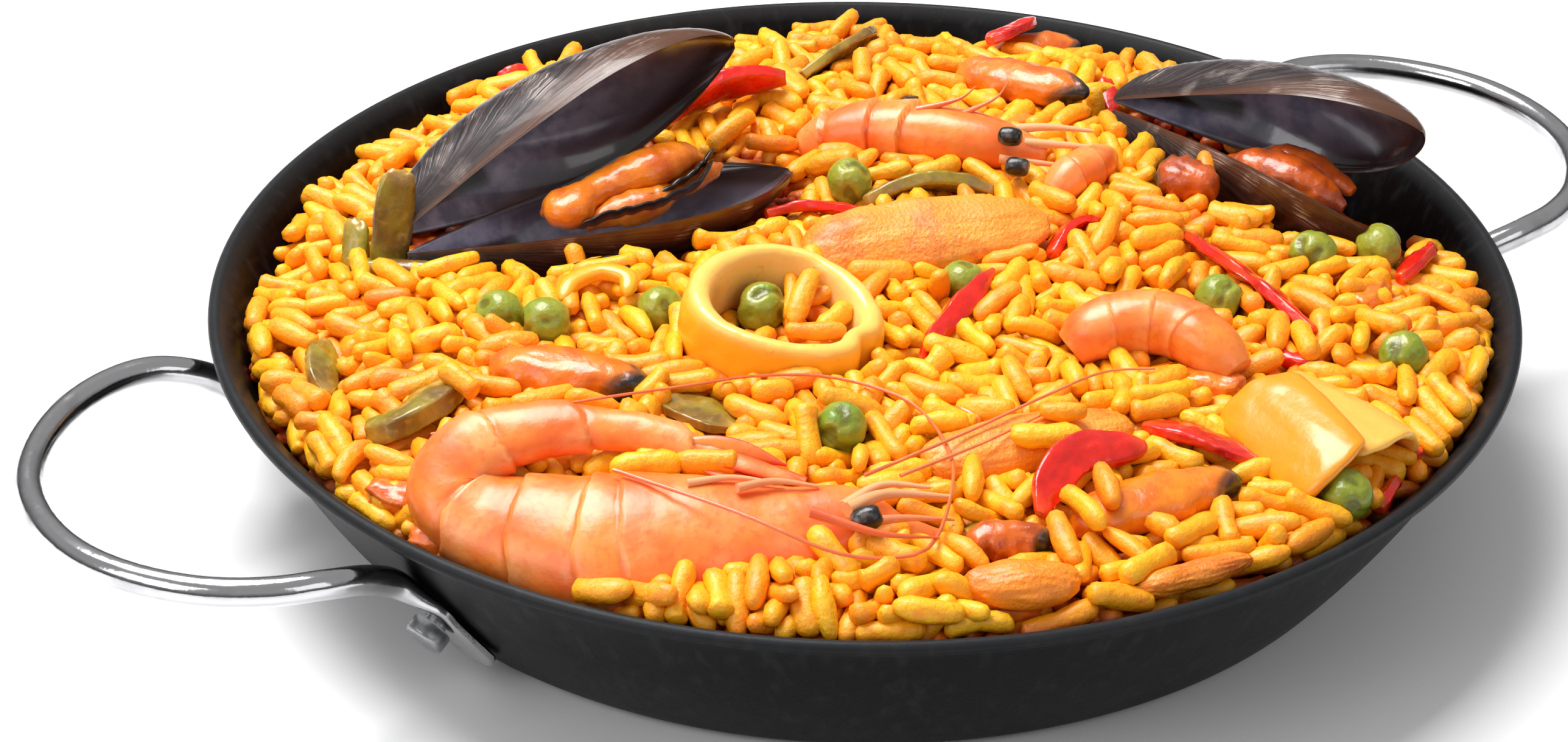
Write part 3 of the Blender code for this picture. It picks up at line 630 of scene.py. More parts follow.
@dataclass(frozen=True)
class PeaSkin(Finish):
    """Cooked pea: yellowish olive, fine wrinkles, wet."""

    slot: str = "pea"
    roughness: float = 0.3
    coat: float = 0.3
    scatter: float = 0.25
    depth: Spot = (0.8, 1.0, 0.2)

    def paint(self, net: Net) -> Value:
        """Olive, yellower in patches and darker brown in its dimples as painted shade."""
        tint, sunk = net.mark("tint"), net.mark("sunk")
        patch = net.cloud(0.3, 3.0).step(0.35, 0.7)
        fresh = net.mix(tint, tone(112, 142, 34), tone(146, 150, 38))
        lit = net.mix(patch * 0.6, fresh, tone(172, 164, 56))
        net.bump(net.cloud(1.3, 3.0), 0.15)
        net.rough(0.24 + 0.2 * net.cloud(0.9, 2.0))
        # Painted shade: the dimples are darkened to brown.
        return net.mix(sunk.step(0.2, 0.9) * 0.7, lit, tone(92, 88, 22))


@dataclass(frozen=True)
class RedPepper(Finish):
    """Cooked red pepper: glossy skin, orange where it is thin or cut."""

    slot: str = "red_pepper"
    roughness: float = 0.22
    coat: float = 0.5
    coat_roughness: float = 0.08
    scatter: float = 0.2
    depth: Spot = (1.5, 0.3, 0.1)

    def paint(self, net: Net) -> Value:
        """Red, deeper in patches, orange at its ends."""
        patch = net.cloud(0.14, 3.0)
        skin = net.mix(patch.step(0.35, 0.7), tone(232, 34, 12), tone(190, 16, 10))
        net.bump(net.cloud(0.9, 3.0), 0.12)
        net.rough(0.16 + 0.22 * net.cloud(0.6, 3.0))
        return net.mix(net.mark("end").step(0.7, 1.0) * 0.7, skin, tone(240, 84, 26))


@dataclass(frozen=True)
class GreenPepper(Finish):
    """Cooked green pepper: olive to brown, wet and a little clear."""

    slot: str = "green_pepper"
    roughness: float = 0.25
    coat: float = 0.45
    coat_roughness: float = 0.1
    scatter: float = 0.3
    depth: Spot = (1.2, 0.9, 0.2)

    def paint(self, net: Net) -> Value:
        """Olive yellow, browner in patches, pale along its edges."""
        patch, fine = net.cloud(0.12, 3.0), net.cloud(0.7, 3.0)
        skin = net.mix(patch.step(0.35, 0.65), tone(150, 134, 34), tone(118, 84, 30))
        lit = net.mix(fine.step(0.5, 0.75) * 0.5, skin, tone(186, 160, 62))
        net.bump(net.cloud(0.5, 3.0), 0.2)
        net.rough(0.18 + 0.2 * fine)
        return net.mix(net.mark("end").step(0.6, 1.0) * 0.45, lit, tone(206, 168, 84))


@dataclass(frozen=True)
class MusselShell(Finish):
    """Mussel shell: brown-black growth lines outside, glossy slate blue inside."""

    slot: str = "shell"
    roughness: float = 0.25
    coat: float = 0.6
    coat_roughness: float = 0.08

    def paint(self, net: Net) -> Value:
        """Growth lines follow the rim outside; inside is pale at the hinge and dark at the rim."""
        growth, inner = net.mark("growth"), net.mark("inner")
        hinge, scar = net.mark("hinge"), net.mark("scar")
        swirl = net.cloud(0.12, 3.0) * 0.05
        lines = net.cloud(26.0, 4.0, net.add("ShaderNodeCombineXYZ", {}, {"X": growth + swirl}), 0.65)
        streak = net.cloud(70.0, 2.0, net.add("ShaderNodeCombineXYZ", {}, {"X": growth + swirl}), 0.6, 5.0)
        worn = net.cloud(0.16, 4.0, seed=2.0)
        outer = net.ramp(
            lines,
            (0.3, tone(14, 10, 11)),
            (0.46, tone(34, 26, 28)),
            (0.56, tone(60, 46, 46)),
            (0.68, tone(84, 50, 32)),
            (0.8, tone(26, 18, 16)),
        )
        outer = net.mix(growth.step(0.72, 0.98) * 0.75, outer, tone(96, 58, 34))
        outer = net.mix(worn.step(0.54, 0.68) * streak.step(0.46, 0.6), outer, tone(184, 168, 158))
        milk = net.cloud(0.22, 4.0, seed=7.0)
        lining = net.mix(milk.step(0.35, 0.65), tone(118, 120, 142), tone(176, 170, 190))
        lining = net.mix(growth.step(0.6, 0.98), lining, tone(84, 72, 80))
        lining = net.mix(hinge, lining, tone(34, 22, 20))
        lining = net.mix(scar.step(0.25, 0.75), lining, tone(22, 19, 22))
        lining = net.mix(growth.step(0.93, 0.975) * 0.85, lining, tone(40, 22, 14))
        net.bump(lines * (1.0 - inner) + milk * inner * 0.3, 0.35)
        net.rough(0.12 + 0.12 * milk + 0.3 * lines * (1.0 - inner))
        net.link(net.shader.inputs["Coat Weight"], 0.2 + 0.5 * inner)
        return net.mix(inner, outer, lining)


@dataclass(frozen=True)
class MusselFlesh(Finish):
    """Cooked mussel: orange, brown and dark along its frilled edge."""

    slot: str = "mussel_meat"
    roughness: float = 0.3
    coat: float = 0.45
    coat_roughness: float = 0.1
    scatter: float = 0.3

    def paint(self, net: Net) -> Value:
        """Orange flesh that turns brown and then nearly black towards the mantle's edge."""
        frill, tint = net.mark("frill"), net.mark("tint")
        patch = net.cloud(0.2, 4.0)
        pale = net.mix(patch.step(0.35, 0.7), tone(240, 138, 18), tone(216, 98, 12))
        deep = net.mix(patch.step(0.35, 0.7), tone(212, 92, 16), tone(150, 52, 14))
        flesh = net.mix(tint, pale, deep)
        brown = net.mix(frill.step(0.25, 0.7), flesh, tone(122, 66, 26))
        net.bump(net.cloud(0.7, 4.0), 0.25)
        net.rough(0.22 + 0.2 * net.cloud(0.5, 2.0))
        return net.mix(frill.step(0.72, 0.95), brown, tone(30, 24, 20))


@dataclass(frozen=True)
class PrawnShell(Finish):
    """Cooked prawn: thin pink-orange shell, whiter on the swell before each joint as a painted highlight,
    clear orange below.
    """

    slot: str = "prawn"
    roughness: float = 0.27
    coat: float = 0.3
    coat_roughness: float = 0.2
    scatter: float = 0.4
    depth: Spot = (2.2, 0.9, 0.35)

    def paint(self, net: Net) -> Value:
        """Bands by segment, with blushes and small pale flecks; the whiter end of each band is a painted
        highlight.
        """
        band, red = net.mark("band"), net.mark("red")
        blush, fleck = net.cloud(0.09, 3.0), net.cloud(0.8, 3.0, seed=4.0)
        body = net.mix(blush.step(0.35, 0.65), tone(250, 142, 52), tone(243, 108, 28))
        # Painted highlight: each segment is whitened towards its swollen hind end, less where it blushes;
        # random milky patches follow.
        milky_and_highlight = net.mix(band.step(0.3, 0.95) * 0.35 * blush.step(0.7, 0.4), body, tone(252, 182, 118))
        milky_and_highlight = net.mix(net.cloud(0.16, 4.0, seed=9.0).step(0.5, 0.7) * 0.35, milky_and_highlight, tone(252, 184, 118))
        seam = net.mix(band.step(0.16, 0.0) * 0.35, milky_and_highlight, tone(226, 84, 32))
        mottled = net.mix(fleck.step(0.5, 0.72) * 0.4, seam, tone(236, 90, 38))
        net.bump(net.cloud(0.5, 4.0) + fleck * 0.3, 0.12)
        net.rough(0.27 + 0.22 * blush)
        return net.mix(red, mottled, tone(222, 58, 28))


@dataclass(frozen=True)
class PrawnHorn(Finish):
    """The stiff thin parts of a prawn: spikes, feelers and legs, orange-red."""

    slot: str = "prawn"
    roughness: float = 0.3
    coat: float = 0.4
    scatter: float = 0.2

    def paint(self, net: Net) -> Value:
        """Orange-red, paler where it is painted pale."""
        along = net.cloud(0.3, 2.0)
        strong = net.mix(along, tone(222, 74, 34), tone(236, 118, 62))
        net.bump(net.cloud(1.5, 2.0), 0.05)
        return net.mix(net.mark("pale"), strong, tone(244, 186, 132))


@dataclass(frozen=True)
class PrawnEye(Finish):
    """The black eye of a prawn, grey where it has dulled."""

    slot: str = "prawn"
    roughness: float = 0.34
    coat: float = 0.3
    coat_roughness: float = 0.12

    def paint(self, net: Net) -> Value:
        """Black with a grey-brown bloom."""
        bloom = net.cloud(0.5, 3.0)
        net.bump(net.cloud(1.5, 3.0), 0.1)
        return net.mix(bloom.step(0.5, 0.7), tone(20, 16, 16), tone(104, 92, 86))


@dataclass(frozen=True)
class SearedChicken(Finish):
    """Cooked chicken: cream to golden, fibrous, with an orange-brown speckled sear."""

    slot: str = "chicken"
    roughness: float = 0.42
    coat: float = 0.25
    coat_roughness: float = 0.2
    scatter: float = 0.3

    def paint(self, net: Net) -> Value:
        """Fibres run along the piece; the sear lies in patches."""
        along = net.add("ShaderNodeCombineXYZ", {}, {"X": net.mark("u") * 0.16, "Y": net.mark("v")})
        fibre = net.cloud(0.9, 4.0, along, 0.6)
        sear = net.cloud(0.11, 3.0, seed=6.0) + net.cloud(0.9, 3.0, seed=8.0) * 0.35
        meat = net.mix(fibre.step(0.3, 0.7), tone(248, 174, 66), tone(244, 146, 34))
        gold = net.mix(net.mark("tint"), meat, tone(244, 140, 14))
        net.bump(fibre + net.cloud(1.5, 3.0) * 0.5, 0.7)
        net.rough(0.32 + 0.25 * fibre)
        return net.mix(sear.step(0.64, 0.9) * 0.7, gold, tone(210, 92, 22))


@dataclass(frozen=True)
class SquidFlesh(Finish):
    """Cooked squid: smooth pale yellow with deeper saffron flecks."""

    slot: str = "squid"
    roughness: float = 0.3
    coat: float = 0.35
    coat_roughness: float = 0.14
    scatter: float = 0.45
    depth: Spot = (2.5, 1.8, 0.6)

    def paint(self, net: Net) -> Value:
        """Cream where it is cut and inside, yellow outside, flecked."""
        cut, tint = net.mark("cut"), net.mark("tint")
        fleck, wide = net.cloud(0.5, 3.0, seed=3.0), net.cloud(0.08, 2.0)
        plain = net.mix(wide.step(0.35, 0.65), tone(254, 202, 52), tone(252, 186, 26))
        yellow = net.mix(tint, plain, tone(240, 146, 8))
        cream = net.mix(cut, yellow, tone(252, 206, 118))
        net.bump(net.cloud(0.25, 4.0) + fleck * 0.2, 0.25)
        net.rough(0.22 + 0.22 * wide)
        return net.mix(fleck.step(0.62, 0.74) * 0.6, cream, tone(240, 156, 34))


@dataclass(frozen=True)
class TomatoFlesh(Finish):
    """Stewed tomato and onion: wet, clear orange to red-brown."""

    slot: str = "red_pepper"
    roughness: float = 0.25
    coat: float = 0.5
    coat_roughness: float = 0.1
    scatter: float = 0.4

    def paint(self, net: Net) -> Value:
        """Orange with redder veins."""
        vein = net.cloud(0.35, 4.0)
        flesh = net.mix(net.mark("tint"), tone(242, 136, 28), tone(226, 84, 22))
        net.bump(net.cloud(0.8, 4.0), 0.3)
        net.rough(0.2 + 0.2 * vein)
        return net.mix(vein.step(0.45, 0.7) * 0.6, flesh, tone(196, 58, 18))


@dataclass(frozen=True)
class DarkShell(Finish):
    """A broken bit of mussel shell, black-brown."""

    slot: str = "shell"
    roughness: float = 0.25
    coat: float = 0.5

    def paint(self, net: Net) -> Value:
        """Black with brown patches."""
        patch = net.cloud(0.5, 3.0)
        net.bump(patch, 0.2)
        return net.mix(patch.step(0.4, 0.7), tone(20, 16, 18), tone(70, 44, 34))


@dataclass(frozen=True)
class PaleFloor(Finish):
    """The table: plain, nearly white."""

    slot: str = ""
    roughness: float = 0.6

    def paint(self, net: Net) -> Value:
        """White with the faintest unevenness."""
        return net.mix(net.cloud(0.01, 2.0), tone(250, 250, 250), tone(253, 253, 253))


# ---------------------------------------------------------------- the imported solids


class Solids:
    """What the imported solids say: where surfaces are, and copies to refine."""

    def __init__(self, nodes: dict[str, bpy.types.Object]) -> None:
        """Reads every node once."""
        self.skins = {name: self._skin(obj) for name, obj in nodes.items()}

    @staticmethod
    def _skin(obj: bpy.types.Object) -> Skin:
        """One node's mesh in millimetres, its doubled points welded and its triangles paired."""
        bm = bmesh.new()
        bm.from_mesh(obj.data)
        bmesh.ops.remove_doubles(bm, verts=bm.verts, dist=2e-6)
        limit = math.radians(30.0)
        bmesh.ops.join_triangles(
            bm, faces=bm.faces, angle_face_threshold=limit, angle_shape_threshold=limit * 1.3
        )
        bm.verts.index_update()
        points = np.array([vert.co[:] for vert in bm.verts]) * PER_M
        faces = [tuple(vert.index for vert in face.verts) for face in bm.faces]
        bm.free()
        return Skin(points, faces)

    def tree(self, names: Sequence[str]) -> BVHTree:
        """A search tree over some nodes."""
        joined = Skin(np.zeros((0, 3)), [])
        for name in names:
            joined.join(Skin(self.skins[name].points, self.skins[name].faces))
        return BVHTree.FromPolygons([Vector(point) for point in joined.points], joined.faces)

    def refined(self, name: str, levels: int, crease: float = 0.0) -> Skin:
        """A node's form with smooth, closely spaced faces.

        Args:
            name: The node.
            levels: How often each face is divided in four.
            crease: How crisp its sharper edges stay, 0 to 1.

        Returns:
            The skin, with marks u, v and w: the share of the way along, across and over it, -1 to 1.
        """
        base = self.skins[name]
        mesh = bpy.data.meshes.new("cage")
        mesh.from_pydata(base.points.tolist(), [], base.faces)
        cage = bpy.data.objects.new("cage", mesh)
        bpy.context.scene.collection.objects.link(cage)
        if crease:
            bm = bmesh.new()
            bm.from_mesh(mesh)
            layer = bm.edges.layers.float.new("crease_edge")
            for edge in bm.edges:
                if edge.calc_face_angle(0.0) > math.radians(38.0):
                    edge[layer] = crease
            bm.to_mesh(mesh)
            bm.free()
        smooth = cage.modifiers.new("smooth", "SUBSURF")
        smooth.levels = smooth.render_levels = levels
        shape = cage.evaluated_get(bpy.context.evaluated_depsgraph_get()).to_mesh()
        points = np.empty(len(shape.vertices) * 3)
        shape.vertices.foreach_get("co", points)
        faces = [tuple(face.vertices) for face in shape.polygons]
        bpy.data.objects.remove(cage)
        bpy.data.meshes.remove(mesh)
        fine = outward(Skin(points.reshape(-1, 3), faces))
        low, high = base.points.min(axis=0), base.points.max(axis=0)
        new_low, new_high = fine.points.min(axis=0), fine.points.max(axis=0)
        fine.points = low + (fine.points - new_low) * (high - low) / (new_high - new_low)
        middle = fine.points.mean(axis=0)
        axes = np.linalg.svd(fine.points - middle, full_matrices=False)[2]
        largest = np.abs(axes).argmax(axis=1)
        axes *= np.sign(axes[np.arange(3), largest])[:, None]
        own = (fine.points - middle) @ axes.T
        for mark, column in zip("uvw", own.T):
            fine.marks[mark] = column / np.abs(column).max()
        return fine


# ---------------------------------------------------------------- pan, handles and rivets


@dataclass
class Pan:
    """The pressed steel pan with its rolled rim."""

    rim_radius: float = 110.0
    height: float = 34.0
    sheet: float = 1.4
    bead: float = 1.1
    top_radius: float = 107.4
    slope: float = 0.418
    bow: float = 0.0055
    corner: float = 6.0
    sides: int = 256

    def top(self) -> float:
        """Height at which the wall meets the rim."""
        return self.height - 2 * self.bead

    def steepness(self, height: float) -> float:
        """Outward run of the wall for each millimetre of rise."""
        return self.slope + 2 * self.bow * (self.top() - height)

    def wall(self, height: Any, inner: bool = False) -> Any:
        """Radius of the wall at a height, outside or inside."""
        below = self.top() - height
        outer = self.top_radius - self.slope * below - self.bow * below * below
        return outer - self.sheet * np.hypot(1.0, self.steepness(height)) if inner else outer

    def bend(
        self, radius: float, height: float, round_by: float, turns: Sequence[float]
    ) -> list[tuple[float, float]]:
        """Points of a rounded corner.

        Args:
            radius: Where its centre is.
            height: Where its centre is.
            round_by: Its own radius.
            turns: Angles of its points in degrees.

        Returns:
            Places as (radius, height).
        """
        turn = [math.radians(angle) for angle in turns]
        return [(radius + round_by * math.cos(t), height + round_by * math.sin(t)) for t in turn]

    def outline(self) -> list[tuple[float, float]]:
        """The sheet's outline from the middle of its underside, over the rim, to its inside."""
        lean = math.atan(self.steepness(self.corner / 2))
        meeting = self.corner * (1.0 - math.sin(lean))
        centre = self.wall(meeting) - self.corner * math.cos(lean)
        low_turn = math.degrees(lean)
        line = [(0.0, 0.0), (30.0, 0.0), (60.0, 0.0)]
        line += self.bend(centre, self.corner, self.corner, np.linspace(-90.0, -low_turn, 8))
        line += [(self.wall(z), z) for z in np.linspace(meeting + 2.0, self.top() - 1.2, 14)]
        bead_z = self.height - self.bead
        line += [(self.wall(self.top()) + 0.15, self.top() - 0.5)]
        line += self.bend(self.rim_radius - self.bead, bead_z, self.bead, np.linspace(-110.0, 40.0, 9))
        line += self.bend(self.rim_radius - self.bead - 0.1, bead_z, self.bead, np.linspace(62.0, 150.0, 6))
        line += [(self.wall(z, True), z) for z in np.linspace(self.top() - 0.3, meeting + 2.0, 14)]
        line += self.bend(centre, self.corner, self.corner - self.sheet, np.linspace(-low_turn, -90.0, 7))
        line += [(60.0, self.sheet), (30.0, self.sheet), (0.0, self.sheet)]
        return line

    def build(self) -> None:
        """Turns the outline into the pan."""
        rings = lathe(self.outline()[1:-1], self.sides)
        # The rim mark covers the top of the bead, where the pan's finish paints a highlight.
        pan = loft(rings, marks={"rim": soft_step(rings[:, :, 2], 32.4, 33.4)})
        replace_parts(pan.piece("black_pan", BlackSteel(), 35.0), "pan")


@dataclass
class Handle:
    """One bent rod with pressed ends, and the two rivets that hold it."""

    pan: Pan
    side: int = 1
    rod: float = 2.35
    tab_half_width: float = 4.8
    tab_half_thick: float = 1.0
    aside: float = 32.4
    gap: float = 0.34
    tab_heights: tuple[float, ...] = (4.4, 7.0, 15.0, 18.5)
    loop: Route = (
        (101.4, 33.0, 23.0),
        (106.5, 34.6, 26.4),
        (114.0, 35.8, 28.7),
        (122.0, 34.4, 29.3),
        (130.5, 29.6, 29.4),
        (138.0, 21.6, 29.4),
        (143.2, 11.5, 29.4),
        (144.9, 0.0, 29.4),
    )
    pressed: float = 15.0
    run_out: float = 11.0
    rivet_height: float = 15.0
    head_radius: float = 3.35
    head_tall: float = 2.9
    head_gap: float = 0.65
    stations: int = 200

    def off_wall(self, height: float, out: float) -> tuple[Array, Array]:
        """A point off the wall beside the handle, and the wall's outward direction there."""
        along = math.sqrt(self.pan.wall(height) ** 2 - self.aside**2)
        turn, lean = math.atan2(self.aside, along), math.atan(self.pan.steepness(height))
        face = np.array([math.cos(turn) * math.cos(lean), math.sin(turn) * math.cos(lean), -math.sin(lean)])
        return np.array([along, self.aside, height]) + face * out, face

    def build(self) -> None:
        """Makes the rod and its rivets."""
        half = [self.off_wall(height, self.gap + self.tab_half_thick)[0] for height in self.tab_heights]
        half += [np.array(point) for point in self.loop]
        mirrored = [point * (1.0, -1.0, 1.0) for point in reversed(half[:-1])]
        route = smooth_route(np.array([*half, *mirrored]), self.stations)
        length = np.linalg.norm(np.diff(route, axis=0), axis=1).sum()
        share = np.linspace(0.0, 1.0, self.stations)
        from_end = np.minimum(share, 1.0 - share) * length
        flat = 1.0 - soft_step(from_end, self.pressed, self.pressed + self.run_out)
        tip = np.sqrt(np.clip((from_end + 0.15) / 3.4, 0.0, 1.0))
        section = oval(
            blend(self.rod, self.tab_half_width, flat) * tip,
            blend(self.rod, self.tab_half_thick, flat) * np.sqrt(np.clip((from_end + 0.3) / 0.9, 0.0, 1.0)),
            20,
            blend(1.0, 0.5, flat),
        )
        face = self.off_wall(self.rivet_height, 0.0)[1]
        faces = np.where(share[:, None] < 0.5, face, face * (1.0, -1.0, 1.0))
        over = blend(np.array([0.0, 0.0, -1.0]), faces, flat[:, None])
        turn = np.diag([self.side, self.side, 1.0])
        label = "right" if self.side > 0 else "left"
        rod = loft(swept(route, section, over)).moved((0.0, 0.0, 0.0), turn)
        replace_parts(rod.piece(f"handle_rod_{label}", BrightRod(), 35.0), f"handle_{label}")
        for lateral in (1, -1):
            self.rivet(lateral, label)

    def rivet(self, lateral: int, label: str) -> None:
        """A short cylindrical head with a softly rounded edge."""
        place, face = self.off_wall(self.rivet_height, 0.0)
        flip = np.array([self.side, lateral, 1.0])
        low = self.gap + 2 * self.tab_half_thick
        soft = 0.7
        under = low + self.head_gap
        outline = [(1.9, low - 0.6), (1.9, under), (self.head_radius - 0.2, under)]
        outline += [(self.head_radius, under + 0.25)]
        top = under + self.head_tall
        for turn in np.radians(np.linspace(0.0, 90.0, 6)):
            reach = self.head_radius - soft
            outline.append((reach + soft * math.cos(turn), top - soft + soft * math.sin(turn)))
        outline += [(1.6, top + 0.06), (0.5, top + 0.08)]
        frame = np.array(Vector(face * flip).to_track_quat("Z", "Y").to_matrix())
        skin = loft(lathe(outline, 32)).moved(place * flip, frame)
        end = "back" if lateral > 0 else "front"
        rivet = skin.piece(f"rivet_head_{label}_{end}", DullRivet(), 50.0)
        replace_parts(rivet, f"rivet_{label}_{end}")


# ---------------------------------------------------------------- mussels


@dataclass
class Valve:
    """One valve of a mussel: +X to its round end, +Y to its hinge edge, cupped along side * Z."""

    name: str
    node: str
    at: Spot
    angles: Spot
    length: float
    width: float
    bend: float
    depth: float
    side: int
    thick: float = 1.0
    scar: Spot = (0.0, 0.0, 0.0)
    stations: int = 84
    across: int = 46

    def half(self, share: Array) -> Array:
        """Half-width at a share of the way from the hinge end to the round end."""
        return self.width / 2 * np.sin(math.pi * np.clip(share, 0.0, 1.0) ** 1.45) ** 0.62

    def middle(self, share: Array) -> Array:
        """How far the middle line bows aside."""
        return self.bend * np.sin(math.pi * np.clip(share, 0.0, 1.0))

    def growth(self, along: Array, aside: Array) -> Array:
        """Size, as a share of the whole, at which the young shell's rim passed through each point."""
        low, high = np.clip(along / self.length, 1e-3, 1.0), np.ones_like(along)
        for _ in range(22):
            size = (low + high) / 2
            share = along / (size * self.length)
            outside = np.abs(aside - size * self.middle(share)) > size * self.half(share)
            low, high = np.where(outside, size, low), np.where(outside, high, size)
        return (low + high) / 2

    def build(self) -> None:
        """Makes the cup with its lining, thin at the rim."""
        share = blend(0.004, 0.996, 0.5 - 0.5 * np.cos(np.linspace(0.0, math.pi, self.stations)))[:, None]
        out = -np.cos(np.linspace(0.0, math.pi, self.across))[None, :]
        half, middle = self.half(share), self.middle(share)
        dome = self.depth * np.sin(math.pi * share**0.8) ** 0.6
        thick = np.minimum(self.thick, 0.4 * half)
        along = np.broadcast_to(share * self.length, (self.stations, self.across))
        outer = np.stack([along, middle + out * half, dome * (1 - np.abs(out) ** 2.2) ** 0.7], axis=2)
        back = -out[:, 1:-1]
        hollow = np.maximum(dome - thick, 0.3 * dome)
        inside_y = middle + back * (half - thick * 0.45)
        inside_z = hollow * (1 - back**2) ** 0.6 - 0.02
        inside = np.stack([along[:, 1:-1], inside_y, inside_z], axis=2)
        rings = np.concatenate([outer, inside], axis=1)
        flat = rings.reshape(-1, 3)
        growth = self.growth(flat[:, 0], flat[:, 1]).reshape(rings.shape[:2])
        inner = np.concatenate([np.zeros_like(outer[:, :, 0]), np.ones_like(inside[:, :, 0])], axis=1)
        across = [np.broadcast_to(out, along.shape), np.broadcast_to(back, inside_y.shape)]
        place = np.concatenate(across, axis=1)
        lines = np.stack([growth.reshape(-1) * 60.0, flat[:, 1] * 0.03, flat[:, 0] * 0.01], axis=1)
        ribs = wander(lines, 1.0, 3.0).reshape(growth.shape)
        waves = wander(flat, 0.12, 1.0).reshape(growth.shape)
        rings[:, :, 2] += (ribs * 0.22 + 0.1 * waves) * (1.0 - inner)
        hinge = inner * self.ligament(np.broadcast_to(share, place.shape), place)
        mark = inner * self.stain(np.broadcast_to(share, place.shape), place)
        rings[:, :, 2] *= self.side
        marks = {"growth": growth, "inner": inner, "hinge": hinge, "scar": mark}
        skin = loft(rings, marks=marks).moved(self.at, attitude(*self.angles))
        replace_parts(skin.piece(self.name, MusselShell(), 70.0), self.node)

    @staticmethod
    def ligament(share: Array, place: Array) -> Array:
        """1 on the dark bar beside the hinge edge."""
        bar = soft_step(place, 0.62, 0.7) * (1.0 - soft_step(place, 0.82, 0.9))
        return bar * (1.0 - soft_step(share, 0.3, 0.34))

    def stain(self, share: Array, place: Array) -> Array:
        """1 in the dark muscle scar and its trail towards the hinge."""
        centre, aside, size = self.scar
        if size == 0.0:
            return np.zeros_like(share)
        blotch = np.hypot((share - centre) / size, (place - aside) / (size * 1.9))
        trail = np.abs(place - aside - 1.4 * (centre - share)) / 0.16 + np.abs(share - centre + 0.16) / 0.17
        return np.maximum(1.0 - soft_step(blotch, 0.7, 1.2), 0.8 * (1.0 - soft_step(trail, 0.7, 1.3)))


VALVES = (
    Valve(
        "mussel_shell_left_top", "mussel_left_upper", (-66.2, 43.5, 37.4), (2.1, 16.4, -59.3),
        69.9, 33.6, 2.8, 14.2, 1, scar=(0.78, -0.05, 0.09),
    ),
    Valve(
        "mussel_shell_left_low", "mussel_left_lower", (-66.6, 39.8, 36.0), (-9.4, 3.1, -12.0),
        69.8, 33.0, 3.0, 12.0, -1, scar=(0.8, 0.1, 0.08),
    ),
    Valve(
        "mussel_shell_right_top", "mussel_right_upper", (69.4, 28.0, 37.4), (-67.5, 11.6, -50.0),
        64.6, 28.0, 5.0, 12.4, 1,
    ),
    Valve(
        "mussel_shell_right_low", "mussel_right_lower", (69.8, 28.0, 35.6), (-76.3, -2.4, -41.7),
        64.9, 31.0, 2.3, 9.0, -1,
    ),
)


def ribbon(
    points: Sequence[Sequence[float]], width: float, thick: float, lean: float, waves: float, seed: float
) -> Skin:
    """A thin frilled strip along a route, such as a mantle's edge.

    Args:
        points: Its route.
        width: Across it.
        thick: Through it.
        lean: Angle in degrees from lying flat.
        waves: Height of its ripples.
        seed: Picks its ripples.

    Returns:
        The skin, marked frill from 0.55 at one edge to 1 at the other.
    """
    route = smooth_route(points, 60)
    share = np.linspace(0.0, 1.0, len(route))
    route[:, 2] += waves * wander(route, 0.55, seed)
    end = round_ends(share, 6)
    section = oval(width / 2 * end * (1 + 0.2 * wander(route, 0.4, seed + 2)), thick / 2 * end, 12)
    tilt = math.radians(lean)
    turned = section @ np.array([[math.cos(tilt), math.sin(tilt)], [-math.sin(tilt), math.cos(tilt)]])
    side = section[:, :, 0] / (width / 2)
    skin = loft(swept(route, turned), marks={"frill": 0.72 + 0.28 * side})
    return skin


def blob(
    at: Sequence[float],
    angles: Sequence[float],
    size: Sequence[float],
    rough: float,
    seed: float,
    square: float = 0.85,
) -> Skin:
    """A rounded lump.

    Args:
        at: Its middle.
        angles: Heading, pitch and roll in degrees.
        size: Length, width and height.
        rough: Height of its bumps as a share of its size.
        seed: Picks its bumps.
        square: 1 for an ellipsoid, lower for a boxier one.

    Returns:
        The skin, marked u along, v across and w over it, -1 to 1.
    """
    share = np.linspace(0.02, 0.98, 26)
    radius = np.clip(1.0 - np.abs(2 * share - 1) ** (2 / square), 0.0, 1.0) ** 0.5
    along = -np.sign(np.cos(math.pi * share)) * np.abs(np.cos(math.pi * share)) ** square
    section = oval(radius, radius, 28, square)
    rings = np.concatenate([np.broadcast_to(along[:, None, None], (26, 28, 1)), section], axis=2)
    skin = loft(rings)
    bumps = 1.0 + rough * (wander(skin.points, 1.5, seed) + 0.5 * wander(skin.points, 3.3, seed + 5))
    skin.marks = {name: column.copy() for name, column in zip("uvw", skin.points.T)}
    skin.points = skin.points * bumps[:, None] * np.asarray(size) / 2
    return skin.moved(at, attitude(*angles))


